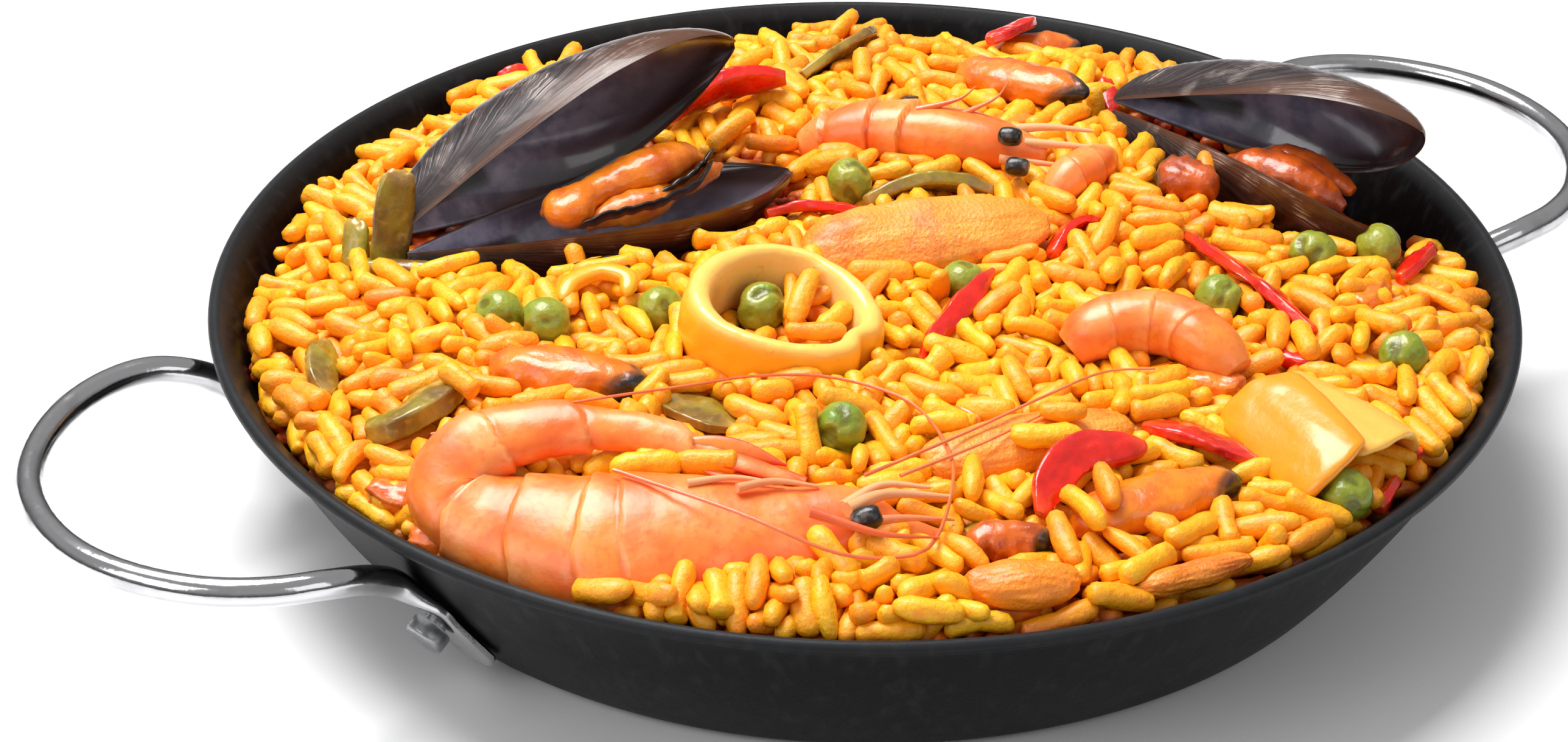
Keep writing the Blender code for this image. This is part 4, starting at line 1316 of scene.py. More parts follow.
@dataclass
class MusselFilling:
    """The flesh in the two open mussels, each with lobes and a frilled edge."""

    # Each lobe's seed and its route as (x, y, z, radius)
    left_lobes = (
        (2.0, (
            (-43.0, 35.6, 39.6, 1.0), (-41.4, 33.8, 41.0, 3.4), (-39.4, 31.4, 41.6, 4.2),
            (-35.6, 32.6, 42.4, 3.2), (-30.6, 33.2, 43.6, 3.5), (-24.4, 32.6, 44.8, 4.3),
            (-17.6, 32.8, 45.4, 3.2), (-13.6, 31.4, 44.6, 0.8),
        )),
        (3.0, (
            (-38.0, 28.6, 39.0, 1.0), (-33.0, 28.6, 40.2, 3.0), (-26.0, 27.8, 41.0, 3.3),
            (-20.0, 28.4, 41.8, 0.9),
        )),
        (4.0, (
            (-24.0, 30.6, 39.4, 1.0), (-18.4, 31.6, 40.8, 2.6), (-12.6, 31.8, 41.8, 2.2),
            (-9.6, 32.4, 42.0, 0.8),
        )),
    )
    right_lobes = (
        (6.0, (
            (72.6, 1.0, 35.6, 1.0), (75.4, -4.6, 37.2, 3.4), (78.6, -11.0, 37.8, 4.6),
            (81.6, -17.6, 36.8, 3.8), (84.0, -23.0, 35.0, 1.0),
        )),
        (7.0, (
            (79.0, -1.0, 36.4, 1.0), (82.0, -8.0, 38.4, 3.2), (85.0, -15.0, 37.8, 3.0),
            (87.4, -20.6, 36.4, 0.8),
        )),
    )
    # Each frilled edge's route, width, thickness, lean, waves and seed
    left_edges = (
        ((
            (-39.6, 28.0, 39.2), (-34.0, 26.2, 41.2), (-26.0, 24.6, 42.2), (-18.0, 26.4, 43.2),
            (-12.9, 29.7, 45.2),
        ), 4.4, 1.1, 50.0, 0.7, 8.4),
        ((
            (-31.0, 28.0, 41.6), (-24.0, 27.2, 42.6), (-17.6, 28.6, 43.8), (-12.0, 30.6, 46.4),
        ), 3.0, 1.1, 50.0, 0.7, 7.0),
    )
    right_edges = (
        ((
            (78.0, 0.0, 37.0), (82.6, -6.6, 39.0), (86.4, -12.6, 38.4), (88.4, -19.0, 36.4),
        ), 3.0, 0.9, 40.0, 0.4, 8.0),
    )

    def build(self) -> None:
        """Makes both."""
        for side, lobes, edges, tint in (
            ("left", self.left_lobes, self.left_edges, 0.15),
            ("right", self.right_lobes, self.right_edges, 0.95),
        ):
            flesh, *others = (self.lobe(rows, seed) for seed, rows in lobes)
            for other in others:
                flesh.join(other)
            flesh.fill("tint", tint)
            for edge in edges:
                flesh.join(ribbon(*edge))
            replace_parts(flesh.piece(f"mussel_flesh_{side}", MusselFlesh()), f"mussel_meat_{side}")

    @staticmethod
    def lobe(rows: Sequence[Sequence[float]], seed: float) -> Skin:
        """A soft lobe of flesh along rows of (x, y, z, radius), lumpy and a little flat."""
        route = smooth_route(rows, 70)
        section = oval(route[:, 3], route[:, 3] * 0.8, 26)
        skin = loft(swept(route, section))
        skin.push(0.55 * wander(skin.points, 0.22, seed) + 0.3 * wander(skin.points, 0.6, seed + 1.0))
        return skin


# ---------------------------------------------------------------- pieces refined from their solids


class Kind(Enum):
    """How a piece's surface is worked."""

    PEA = "pea"
    STRIP = "strip"
    FLESH = "flesh"
    CHICKEN = "chicken"


@dataclass
class Topping:
    """A piece that keeps its solid's place and form and gains its real surface."""

    node: str
    kind: Kind
    number: int
    tint: float = 0.5

    def finish(self) -> Finish:
        """What covers it."""
        if self.kind is Kind.STRIP:
            return RedPepper() if self.node.startswith("red") else GreenPepper()
        return {Kind.PEA: PeaSkin(), Kind.FLESH: MusselFlesh(), Kind.CHICKEN: SearedChicken()}[self.kind]

    def build(self, solids: Solids) -> None:
        """Refines, works and names it."""
        skin = solids.refined(self.node, 3, 0.55 if self.kind is Kind.STRIP else 0.0)
        getattr(self, "_" + self.kind.value)(skin)
        skin.fill("tint", self.tint)
        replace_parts(skin.piece("dressed_" + self.node, self.finish(), 75.0), self.node)

    def _pea(self, skin: Skin) -> None:
        """Dimples on a ball, and a fine wrinkle or two."""
        seed = float(self.number)
        pits = np.clip(wander(skin.points, 0.34, seed), 0.0, 1.0)
        skin.push(0.18 - 0.95 * pits - 0.16 * np.abs(wander(skin.points, 0.8, seed + 3)))
        # The sunk mark follows the dimples, which the pea's finish darkens as painted shade.
        skin.marks["sunk"] = soft_step(pits, 0.1, 0.5)

    def _strip(self, skin: Skin) -> None:
        """A gentle warp, and a mark that grows towards its ends and sides."""
        seed = float(self.number)
        wave = 0.55 * wander(skin.points, 0.2, seed) + 0.16 * wander(skin.points, 0.8, seed)
        skin.push(wave)
        skin.marks["end"] = np.maximum(np.abs(skin.marks["u"]), 0.9 * np.abs(skin.marks["v"]) ** 2)

    def _flesh(self, skin: Skin) -> None:
        """Plump folds, with a dark frill round one end and side."""
        seed = float(self.number) + 20.0
        u, v = skin.marks["u"], skin.marks["v"]
        fold = 0.6 * wander(skin.points, 0.18, seed) + 0.22 * wander(skin.points, 0.6, seed)
        rim = soft_step(np.abs(v) + 0.35 * np.abs(u), 0.75, 1.1)
        ripple = rim * 0.45 * np.sin(u * 16.0 + seed)
        skin.push(fold + ripple)
        skin.marks["frill"] = np.clip(soft_step(u * self._dark_end() + 0.4 * np.abs(v), 0.62, 1.05), 0.0, 1.0)

    def _dark_end(self) -> float:
        """Which end of the flesh is the dark one."""
        return -1.0 if self.number == 2 else 1.0

    def _chicken(self, skin: Skin) -> None:
        """Torn fibres along the piece and a ragged outline."""
        seed = float(self.number) + 40.0
        u, v = skin.marks["u"], skin.marks["v"]
        size = np.ptp(skin.points, axis=0).max() / 2
        own = np.stack([u * size * 0.25, v * size * 0.9, skin.marks["w"] * size * 0.5], axis=1)
        skin.push(0.55 * wander(skin.points, 0.2, seed) + 0.3 * wander(own, 0.9, seed))


@dataclass
class SquidRing:
    """A band bent into a closed ring, pinched in a soft kink at the front."""

    at: Spot = (-26.0, -17.6, 39.4)
    angles: Spot = (-60.0, -11.0, 0.0)
    radius: float = 13.5
    band: float = 4.4
    tall: float = 11.8
    kink: float = 0.0
    steps: int = 150

    def build(self) -> None:
        """Makes the ring."""
        turn = np.linspace(0.0, math.tau, self.steps, endpoint=False)
        radius = self.radius * (1.0 + 0.05 * np.cos(2 * turn - 0.35) + 0.03 * np.cos(3 * turn))
        away = (turn - self.kink + math.pi) % math.tau - math.pi
        radius -= 1.3 * np.exp(-((away / 0.16) ** 2))
        band = self.band / 2 * (1.0 + 0.14 * np.sin(turn * 2 + 1.0) - 0.25 * np.exp(-((away / 0.1) ** 2)))
        tall = self.tall / 2 * (1.0 + 0.08 * np.sin(turn))
        section = oval(band, tall, 28, 0.72)
        cos, sin = np.cos(turn)[:, None], np.sin(turn)[:, None]
        reach = radius[:, None] + section[:, :, 0]
        rings = np.stack([reach * cos, reach * sin, section[:, :, 1]], axis=2)
        inside = soft_step(-section[:, :, 0] / band[:, None], 0.2, 0.8)
        inside = np.maximum(inside, 0.6 * soft_step(section[:, :, 1] / tall[:, None], 0.6, 0.95))
        skin = loft(rings, closed=True, marks={"cut": inside})
        skin.push(0.28 * wander(skin.points, 0.2, 1.0) + 0.08 * wander(skin.points, 0.7, 2.0))
        skin.fill("tint", 0.15)
        skin = skin.moved(self.at, attitude(*self.angles))
        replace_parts(skin.piece("squid_band", SquidFlesh()), "squid_ring")


@dataclass
class SquidFold:
    """A broad band of squid folded over itself: the outside lies over the paler inside."""

    outside: Route = (
        (20.8, -84.0, 34.6),
        (22.8, -84.2, 37.4),
        (26.4, -84.6, 40.4),
        (30.4, -85.0, 42.2),
        (33.4, -85.4, 42.6),
    )
    inside: Route = (
        (29.6, -84.4, 39.8),
        (34.0, -84.0, 40.9),
        (38.6, -83.4, 40.3),
        (42.4, -82.8, 37.4),
        (43.6, -82.6, 34.0),
    )

    def build(self) -> None:
        """Makes both layers."""
        skin = self.layer(self.outside, 12.4, 1.35, 0.0)
        skin.join(self.layer(self.inside, 11.0, 1.2, 0.4))
        skin.points[:, 2] += 0.7 * wander(skin.points, 0.1, 3.0)
        skin.push(0.3 * wander(skin.points, 0.3, 4.0))
        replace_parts(skin.piece("squid_folded_band", SquidFlesh()), "squid_fold")

    @staticmethod
    def layer(points: Sequence[Sequence[float]], half: float, thick: float, cut: float) -> Skin:
        """One layer.

        Args:
            points: Its way across, from the side towards the ring.
            half: Half its length along the fold.
            thick: Half its thickness.
            cut: 0 for the outside, 1 for the pale inside.

        Returns:
            The skin.
        """
        route = smooth_route(points, 60)
        share = np.linspace(0.0, 1.0, 60)
        end = round_ends(share, 9)
        width = half * (1.0 + 0.1 * np.sin(share * 4.0 + cut)) * blend(0.82, 1.0, end)
        section = oval(width, thick * end, 44, 0.6)
        skin = loft(swept(route, section))
        skin.fill("cut", cut)
        skin.fill("tint", 0.9 - cut)
        return skin


# ---------------------------------------------------------------- prawns


def feeler(points: Sequence[Sequence[float]], thick: float, pale: float = 0.0, end: float = 0.35) -> Skin:
    """A thin tapering feeler, leg or spike.

    Args:
        points: Its route, from the thick end.
        thick: Radius at that end.
        pale: 0 for orange-red, 1 for pale.
        end: Radius at the far end as a share of the first.

    Returns:
        The skin.
    """
    count = 12 + 4 * len(points)
    route = smooth_route(points, count)
    radius = thick * blend(1.0, end, np.linspace(0.0, 1.0, count))
    skin = loft(swept(route, oval(radius, radius, 6), (0.05, 0.02, 1.0)))
    skin.fill("pale", pale)
    return skin


def blade(points: Sequence[Sequence[float]], width: float, over: Sequence[float], red: float = 0.0) -> Skin:
    """A thin leaf of shell, such as a tail blade.

    Args:
        points: Its middle line.
        width: At its widest.
        over: The direction that its face looks in.
        red: How red its edges are.

    Returns:
        The skin.
    """
    route = smooth_route(points, 26)
    share = np.linspace(0.0, 1.0, 26)
    half = width / 2 * np.clip(np.sin(math.pi * share**0.75), 0.06, 1.0) ** 0.7
    section = oval(half, np.full(26, 0.42), 14)
    edge = np.abs(section[:, :, 0]) / (width / 2)
    marks = {"red": red * np.maximum(soft_step(edge, 0.5, 1.0), soft_step(share, 0.7, 1.0)[:, None])}
    return loft(swept(route, section, over), marks={**marks, "band": np.full(edge.shape, 0.4)})


def tuft(*rows: tuple[Any, ...]) -> Skin:
    """Several feelers in one skin, each row as feeler takes it."""
    first, *others = (feeler(*row) for row in rows)
    for other in others:
        first.join(other)
    return first


def segments(length: Array, joints: Sequence[float], rest: float) -> tuple[Array, Array]:
    """Where each place is among a body's segments.

    Args:
        length: How far along the body each place is.
        joints: Where the segments meet, with the body's two ends.
        rest: The share beyond the ends.

    Returns:
        The share of the way through the segment there, and the segment's number.
    """
    share, number = np.full(length.shape, rest), np.zeros_like(length)
    for index, (start, end) in enumerate(zip(joints, joints[1:])):
        inside = (length >= start) & (length < end)
        share = np.where(inside, (length - start) / (end - start), share)
        number = np.where(inside, index, number)
    return share, number


@dataclass
class WholePrawn:
    """The whole prawn that lies on its side along the front: head, six tail segments and its fan."""

    at: Spot = (-74.2, -52.1, 34.8)
    heading: float = -30.0
    tilt: float = 28.0
    flatness: float = 0.7
    # Middle line from the nose round to the fan: (along, aside, lift, half-depth)
    curl: tuple[tuple[float, float, float, float], ...] = (
        (48.9, -0.4, 0.0, 0.9),
        (43.0, 0.6, 0.0, 2.2),
        (35.9, 1.5, 0.0, 5.9),
        (26.9, -0.3, 0.0, 7.6),
        (13.5, -2.3, -0.4, 11.2),
        (0.0, -2.6, -1.2, 12.2),
        (-10.6, 0.3, -2.8, 10.2),
        (-19.4, 3.7, -4.0, 8.1),
        (-24.2, 8.6, -3.2, 7.2),
        (-21.4, 14.0, -1.6, 6.2),
        (-13.0, 16.8, 0.0, 5.0),
        (-4.5, 17.6, 0.0, 3.9),
        (7.2, 16.2, 0.0, 2.8),
        (17.9, 12.0, 0.0, 1.9),
        (28.7, 8.7, 0.0, 0.8),
    )
    # Joints, as lengths along the middle line from the nose
    joints: tuple[float, ...] = (47.0, 53.0, 64.0, 75.0, 88.0, 101.0, 118.0)
    long_feelers: tuple[Route, ...] = (
        (
            (-72.1, -49.0, 43.4), (-61.7, -67.3, 43.2), (-52.5, -79.7, 40.4), (-44.8, -83.4, 38.9),
            (-38.1, -84.1, 39.4), (-28.7, -74.4, 40.3), (-22.9, -64.0, 40.4), (-21.0, -49.4, 40.4),
            (-28.2, -37.7, 40.8), (-39.0, -32.1, 41.2), (-47.4, -31.1, 41.8), (-70.8, -28.2, 43.2),
            (-89.9, -22.5, 40.6),
        ),
        (
            (-39.1, -66.6, 42.0), (-17.9, -62.1, 41.0), (-4.1, -60.6, 42.0), (8.6, -58.8, 42.0),
            (17.1, -61.0, 41.4),
        ),
        ((-34.2, -68.7, 41.6), (-18.0, -66.0, 41.0), (-3.5, -63.0, 41.0)),
    )
    stations: int = 260
    sides: int = 40

    def turn(self) -> Array:
        """Its attitude."""
        heading = Matrix.Rotation(math.radians(self.heading), 3, "Z")
        return np.array(heading @ Matrix.Rotation(math.radians(self.tilt), 3, "X"))

    def build(self) -> None:
        """Makes the shell, then the eye, spikes, legs, feelers and fan."""
        route = smooth_route(self.curl, self.stations)
        length = np.concatenate([[0.0], np.cumsum(np.linalg.norm(np.diff(route[:, :3], axis=0), axis=1))])
        half = route[:, 3]
        section = oval(half, half * self.flatness, self.sides, 0.92)
        section[:, :, 1] = np.where(section[:, :, 1] < 0, section[:, :, 1] * 0.4, section[:, :, 1])
        rings = swept(route, section)
        turn = math.tau * (np.arange(self.sides) + 0.5) / self.sides
        outer = -np.cos(turn)[None, :]
        lobe = 3.0 * np.clip(outer, 0.0, 1.0) ** 2 - 1.5 * np.clip(-outer, 0.0, 1.0)
        share, number = segments(length[:, None] + lobe, (-10.0, *self.joints, 160.0), 0.0)
        tail = number > 0
        seam = np.where(tail, np.exp(-((share / 0.06) ** 2)) * 0.5, 0.0)
        rise = np.where(tail, share**1.5 * 0.85, 0.35) - seam
        neck = (length[:, None] > 40.0) & ~tail
        rise = np.where(neck, rise + 0.35 * (length[:, None] - 40.0) / 7.0, rise)
        red = 0.9 * soft_step(length, 118.0, 138.0)[:, None] * np.abs(outer) ** 0.5
        red = np.broadcast_to(red, rise.shape) + self.cheek(length, turn)
        skin = loft(rings, marks={"band": np.where(tail, share, 0.55), "red": np.clip(red, 0.0, 1.0)})
        lift = np.concatenate([rise.reshape(-1), [0.0, 0.0]])
        skin.push(lift * 0.62 + 0.25 * wander(skin.points, 0.16, 2.0) + 0.1 * wander(skin.points, 0.6, 3.0))
        for leaf in self.fan():
            skin.join(leaf)
        flap = blob((1.5, -10.6, 4.4), (96.0, 30.0, 0.0), (8.6, 6.4, 1.4), 0.05, 3.0, 1.0)
        # Its band of 0.95 gives the flap the whiter painted highlight of a segment's end.
        flap.fill("band", 0.95)
        skin.join(flap)
        skin = skin.moved(self.at, self.turn())
        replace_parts(skin.piece("prawn_whole", PrawnShell(), 80.0), "prawn_front")
        self.trimmings()

    @staticmethod
    def cheek(length: Array, turn: Array) -> Array:
        """Redness behind the eye."""
        spot = ((length[:, None] - 16.5) / 3.2) ** 2 + ((turn[None, :] - 1.9) / 0.5) ** 2
        return 0.6 * np.exp(-spot)

    def fan(self) -> list[Skin]:
        """The blades at the end of the tail."""
        return [
            blade(((12.0, 13.0, 1.6), (20.0, 10.6, 2.0), (29.5, 7.4, 1.2)), 3.4, (0.0, 0.2, 1.0), 0.9),
            blade(((10.0, 15.0, 1.0), (18.0, 14.0, 1.2), (26.0, 11.4, 0.4)), 3.0, (0.0, -0.3, 1.0), 0.9),
            blade(((12.0, 11.6, 0.6), (18.0, 9.2, 0.8), (25.5, 6.8, 0.2)), 3.0, (0.0, 0.4, 1.0), 0.7),
        ]

    def trimmings(self) -> None:
        """Eye, spikes, legs and feelers, in the pan's own places."""
        eye = blob((-44.6, -76.4, 41.6), (-20.0, 20.0, 0.0), (4.6, 3.8, 3.8), 0.03, 1.0, 1.0)
        eye.piece("prawn_whole_eye", PrawnEye())
        tuft(
            (((-52.0, -73.0, 43.2), (-45.0, -80.5, 41.6), (-36.4, -83.6, 39.8)), 1.0, 0.0, 0.15),
            (((-46.5, -74.0, 42.4), (-39.0, -72.6, 42.0), (-29.6, -75.4, 40.2)), 1.3, 0.75, 0.3),
            (((-46.0, -72.0, 41.6), (-38.0, -69.6, 41.6), (-30.8, -71.8, 40.2)), 1.1, 0.9, 0.3),
            (((-45.0, -75.5, 40.6), (-38.0, -77.0, 40.0), (-31.0, -79.0, 38.6)), 1.0, 0.4, 0.2),
            (((-58.0, -61.5, 42.8), (-52.0, -62.0, 42.4), (-46.0, -64.8, 41.2)), 0.8, 0.6, 0.4),
            (((-64.0, -57.0, 43.0), (-57.0, -58.4, 42.6), (-50.5, -62.0, 41.4)), 0.7, 0.8, 0.4),
        ).piece("prawn_whole_spikes", PrawnHorn())
        longest, *others = self.long_feelers
        rows = [(longest, 0.34, 0.15, 0.7), *((route, 0.34, 0.3, 0.6) for route in others)]
        tuft(*rows).piece("prawn_whole_feelers", PrawnHorn())


@dataclass
class HalfPrawn:
    """A prawn of which only part shows above the rice."""

    node: str
    rows: tuple[tuple[float, float, float, float], ...]
    joints: tuple[float, ...]
    swell: float = 0.7
    stations: int = 110
    sides: int = 32

    def build(self) -> None:
        """Makes its body."""
        route = smooth_route(self.rows, self.stations)
        length = np.linspace(0.0, 1.0, self.stations)
        half = route[:, 3]
        rings = swept(route, oval(half, half * 0.95, self.sides, 0.95))
        turn = math.tau * (np.arange(self.sides) + 0.5) / self.sides
        shifted = length[:, None] + 0.03 * np.cos(turn)[None, :]
        share = segments(shifted, (-0.2, *self.joints, 1.2), 0.5)[0]
        skin = loft(rings, marks={"band": share, "red": np.zeros_like(share)})
        lift = (share**1.5 - np.exp(-((share / 0.08) ** 2)) * 0.6) * self.swell
        skin.push(np.concatenate([lift.reshape(-1), [0.0, 0.0]]) + 0.2 * wander(skin.points, 0.2, 5.0))
        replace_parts(skin.piece("dressed_" + self.node, PrawnShell(), 80.0), self.node)


HALF_PRAWNS = (
    HalfPrawn(
        "prawn_back",
        (
            (11.6, 41.0, 36.4, 2.6),
            (17.6, 37.4, 39.0, 4.9),
            (25.3, 32.0, 40.0, 5.7),
            (32.3, 24.8, 40.3, 5.5),
            (38.5, 18.5, 40.1, 4.5),
            (45.0, 13.2, 39.4, 1.5),
        ),
        (0.12, 0.3, 0.45),
    ),
    HalfPrawn(
        "prawn_arch",
        (
            (13.4, -43.6, 37.0, 3.5),
            (16.6, -44.4, 39.6, 4.7),
            (22.4, -46.1, 40.8, 5.3),
            (28.2, -50.6, 40.8, 5.3),
            (30.6, -57.6, 39.6, 4.7),
            (32.0, -62.5, 36.9, 3.3),
        ),
        (0.24, 0.46, 0.68),
        0.15,
    ),
    HalfPrawn(
        "shrimp",
        (
            (39.6, 2.2, 37.3, 2.5),
            (43.6, 3.2, 39.0, 3.7),
            (49.2, 4.8, 39.3, 3.7),
            (55.4, 9.0, 38.0, 2.1),
        ),
        (0.3, 0.55, 0.8),
        0.3,
    ),
)


@dataclass
class BackPrawnHead:
    """Eyes, spikes and feelers of the prawn at the back."""

    eyes: Route = ((37.3, 12.9, 44.6), (35.4, 7.4, 41.6))

    def build(self) -> None:
        """Makes them."""
        for number, at in enumerate(self.eyes, 1):
            eye = blob(at, (-45.0, 0.0, 0.0), (4.2, 3.4, 3.4), 0.04, float(number), 1.0)
            eye.piece(f"prawn_back_eye_{number}", PrawnEye())
        tuft(
            (((28.0, 29.0, 45.0), (34.0, 25.0, 47.4), (37.0, 24.0, 49.6)), 0.8, 0.2, 0.15),
            (((33.0, 25.0, 44.0), (39.0, 21.0, 48.0), (41.4, 20.4, 51.0)), 0.7, 0.4, 0.15),
            (((37.5, 17.0, 41.5), (45.0, 12.0, 41.6), (52.5, 7.5, 41.0)), 1.3, 0.85, 0.3),
            (((38.5, 19.5, 42.5), (46.5, 15.6, 43.0), (54.0, 11.5, 42.2)), 1.2, 0.9, 0.3),
            (((36.0, 14.0, 40.0), (42.0, 8.6, 40.0), (47.0, 5.5, 39.4)), 0.9, 0.6, 0.3),
        ).piece("prawn_back_spikes", PrawnHorn())


# ---------------------------------------------------------------- rice


class Ground:
    """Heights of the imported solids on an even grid, so that many places can be read at once."""

    def __init__(self, tree: BVHTree, reach: float, step: float) -> None:
        """Looks down on the tree over a square of this half-width, in these steps."""
        self.reach, self.step = reach, step
        axis = np.arange(-reach, reach + step / 2, step)
        heights = np.full((len(axis), len(axis)), np.nan)
        for row, x in enumerate(axis):
            for column, y in enumerate(axis):
                hit = tree.ray_cast(Vector((x, y, 100.0)), Vector((0.0, 0.0, -1.0)), 200.0)[0]
                if hit is not None:
                    heights[row, column] = hit.z
        self.seen = ~np.isnan(heights)
        self.heights = self._filled(heights)

    @staticmethod
    def _filled(heights: Array) -> Array:
        """The grid with its empty places given their neighbours' height, spreading outward."""
        while np.isnan(heights).any():
            sides = [np.roll(heights, shift, axis) for shift in (-1, 1) for axis in (0, 1)]
            stack = np.stack(sides)
            known = ~np.isnan(stack)
            total = np.where(known, stack, 0.0).sum(axis=0)
            near = known.sum(axis=0)
            empty = np.isnan(heights) & (near > 0)
            heights = np.where(empty, total / np.maximum(near, 1), heights)
        return heights

    def rough(self, tall: float, scale: float, seed: float) -> Ground:
        """A copy with broad humps and dips, fading out towards the pan's wall.

        Args:
            tall: Their height.
            scale: Humps for each millimetre.
            seed: Picks their pattern.

        Returns:
            The copy.
        """
        other = copy.copy(self)
        axis = np.arange(-self.reach, self.reach + self.step / 2, self.step)
        x, y = np.meshgrid(axis, axis, indexing="ij")
        flat = np.stack([x, y, np.zeros_like(x)], axis=2).reshape(-1, 3)
        humps = wander(flat, scale, seed) + 0.4 * wander(flat, scale * 2.1, seed + 1.0)
        fade = 1.0 - 0.8 * soft_step(np.hypot(x, y), 84.0, 102.0)
        other.heights = self.heights + tall * humps.reshape(x.shape) * fade
        return other

    def worn(self, cells: int) -> Ground:
        """A copy in which each point has the lowest height within this many cells."""
        other = copy.copy(self)
        for _ in range(cells):
            for axis in (0, 1):
                beside = [np.roll(other.heights, shift, axis) for shift in (-1, 0, 1)]
                other.heights = np.min(beside, axis=0)
        return other

    def at(self, x: Array, y: Array) -> Array:
        """Height at each place, blended between the grid's points."""
        size = len(self.heights) - 1.001
        across = np.clip((x + self.reach) / self.step, 0.0, size)
        along = np.clip((y + self.reach) / self.step, 0.0, size)
        i, j = across.astype(int), along.astype(int)
        u, v = across - i, along - j
        grid = self.heights
        low = blend(grid[i, j], grid[i + 1, j], u)
        return blend(low, blend(grid[i, j + 1], grid[i + 1, j + 1], u), v)


@dataclass(frozen=True)
class Grain:
    """One way a cooked grain of rice looks.

    Attributes:
        name: What it is called.
        share: Which eighths of all grains are of this kind, from and up to.
        length: Of the grain.
        width: Of the grain.
        bend: How far its middle bows.
        split: How far its end has opened.
    """

    name: str
    share: tuple[int, int]
    length: float
    width: float
    bend: float = 0.2
    split: float = 0.0

    def shape(self, seed: float) -> Skin:
        """One grain round its own middle, along X."""
        share = np.array([0.0, 0.02, 0.08, 0.24, 0.5, 0.76, 0.92, 0.98, 1.0])
        along = (share - 0.5) * self.length
        swell = np.array([0.25, 0.5, 0.8, 0.98, 1.0, 0.98, 0.82 + self.split, 0.52 + self.split, 0.26])
        broad, fine = np.sin(seed * 2.3 + share * 9.0), np.sin(seed * 5.1 + share * 23.0)
        swell = swell * (1.0 + 0.1 * broad + 0.06 * fine)
        section = oval(self.width / 2 * swell, self.width / 2 * 0.88 * swell, 8, 0.9)
        rings = np.concatenate([np.broadcast_to(along[:, None, None], (9, 8, 1)), section], axis=2)
        rings[:, :, 1] += self.bend * np.cos(math.pi * (share - 0.5))[:, None] * (1.0 + 0.4 * math.sin(seed))
        rings[:, :, 2] += 0.12 * np.sin(share * 7.0 + seed * 1.9)[:, None]
        return loft(rings)


GRAINS = (
    Grain("whole", (0, 3), 10.6, 3.7),
    Grain("curved", (3, 5), 10.2, 3.5, 0.9),
    Grain("burst", (5, 7), 10.0, 3.9, 0.4, 0.14),
    Grain("broken", (7, 8), 7.4, 3.6, 0.15, 0.1),
)


# Grains that lie up on the toppings: (x, y, z, heading, pitch)
ON_TOP = (
    # in the squid ring
    (-13.9, -8.0, 41.0, 75.0, 38.0),
    (-18.4, -21.7, 40.6, 20.0, 10.0),
    (-20.5, -11.4, 40.2, 60.0, 20.0),
    (-22.9, -23.6, 40.6, -30.0, 0.0),
    (-20.7, -15.8, 42.3, 42.0, 22.0),
    (-15.0, -15.0, 41.2, -10.0, 12.0),
    # in the curl of the front prawn
    (-60.9, -46.6, 41.3, -30.0, 0.0),
    (-57.4, -50.6, 41.3, -36.0, 4.0),
    (-65.7, -46.9, 40.8, -22.0, 0.0),
    # across the chicken and the mussel meats
    (-3.2, -65.7, 42.0, -32.0, 0.0),
    (-8.2, -68.8, 41.0, -24.0, -4.0),
    (-7.6, -84.4, 40.4, 70.0, 6.0),
    (-3.2, -90.6, 36.2, 96.0, -8.0),
    (-10.9, -94.6, 36.9, 100.0, 4.0),
    (-13.4, -86.8, 39.4, 88.0, 0.0),
    (-18.5, -89.9, 37.4, 74.0, 8.0),
    # leaning on peas and peppers
    (-39.1, -49.3, 39.6, 66.0, 34.0),
    (-80.2, -11.6, 41.8, -66.0, -16.0),
    (-40.0, -9.0, 38.4, 60.0, 24.0),
    (66.0, -6.4, 38.2, 62.0, 30.0),
)


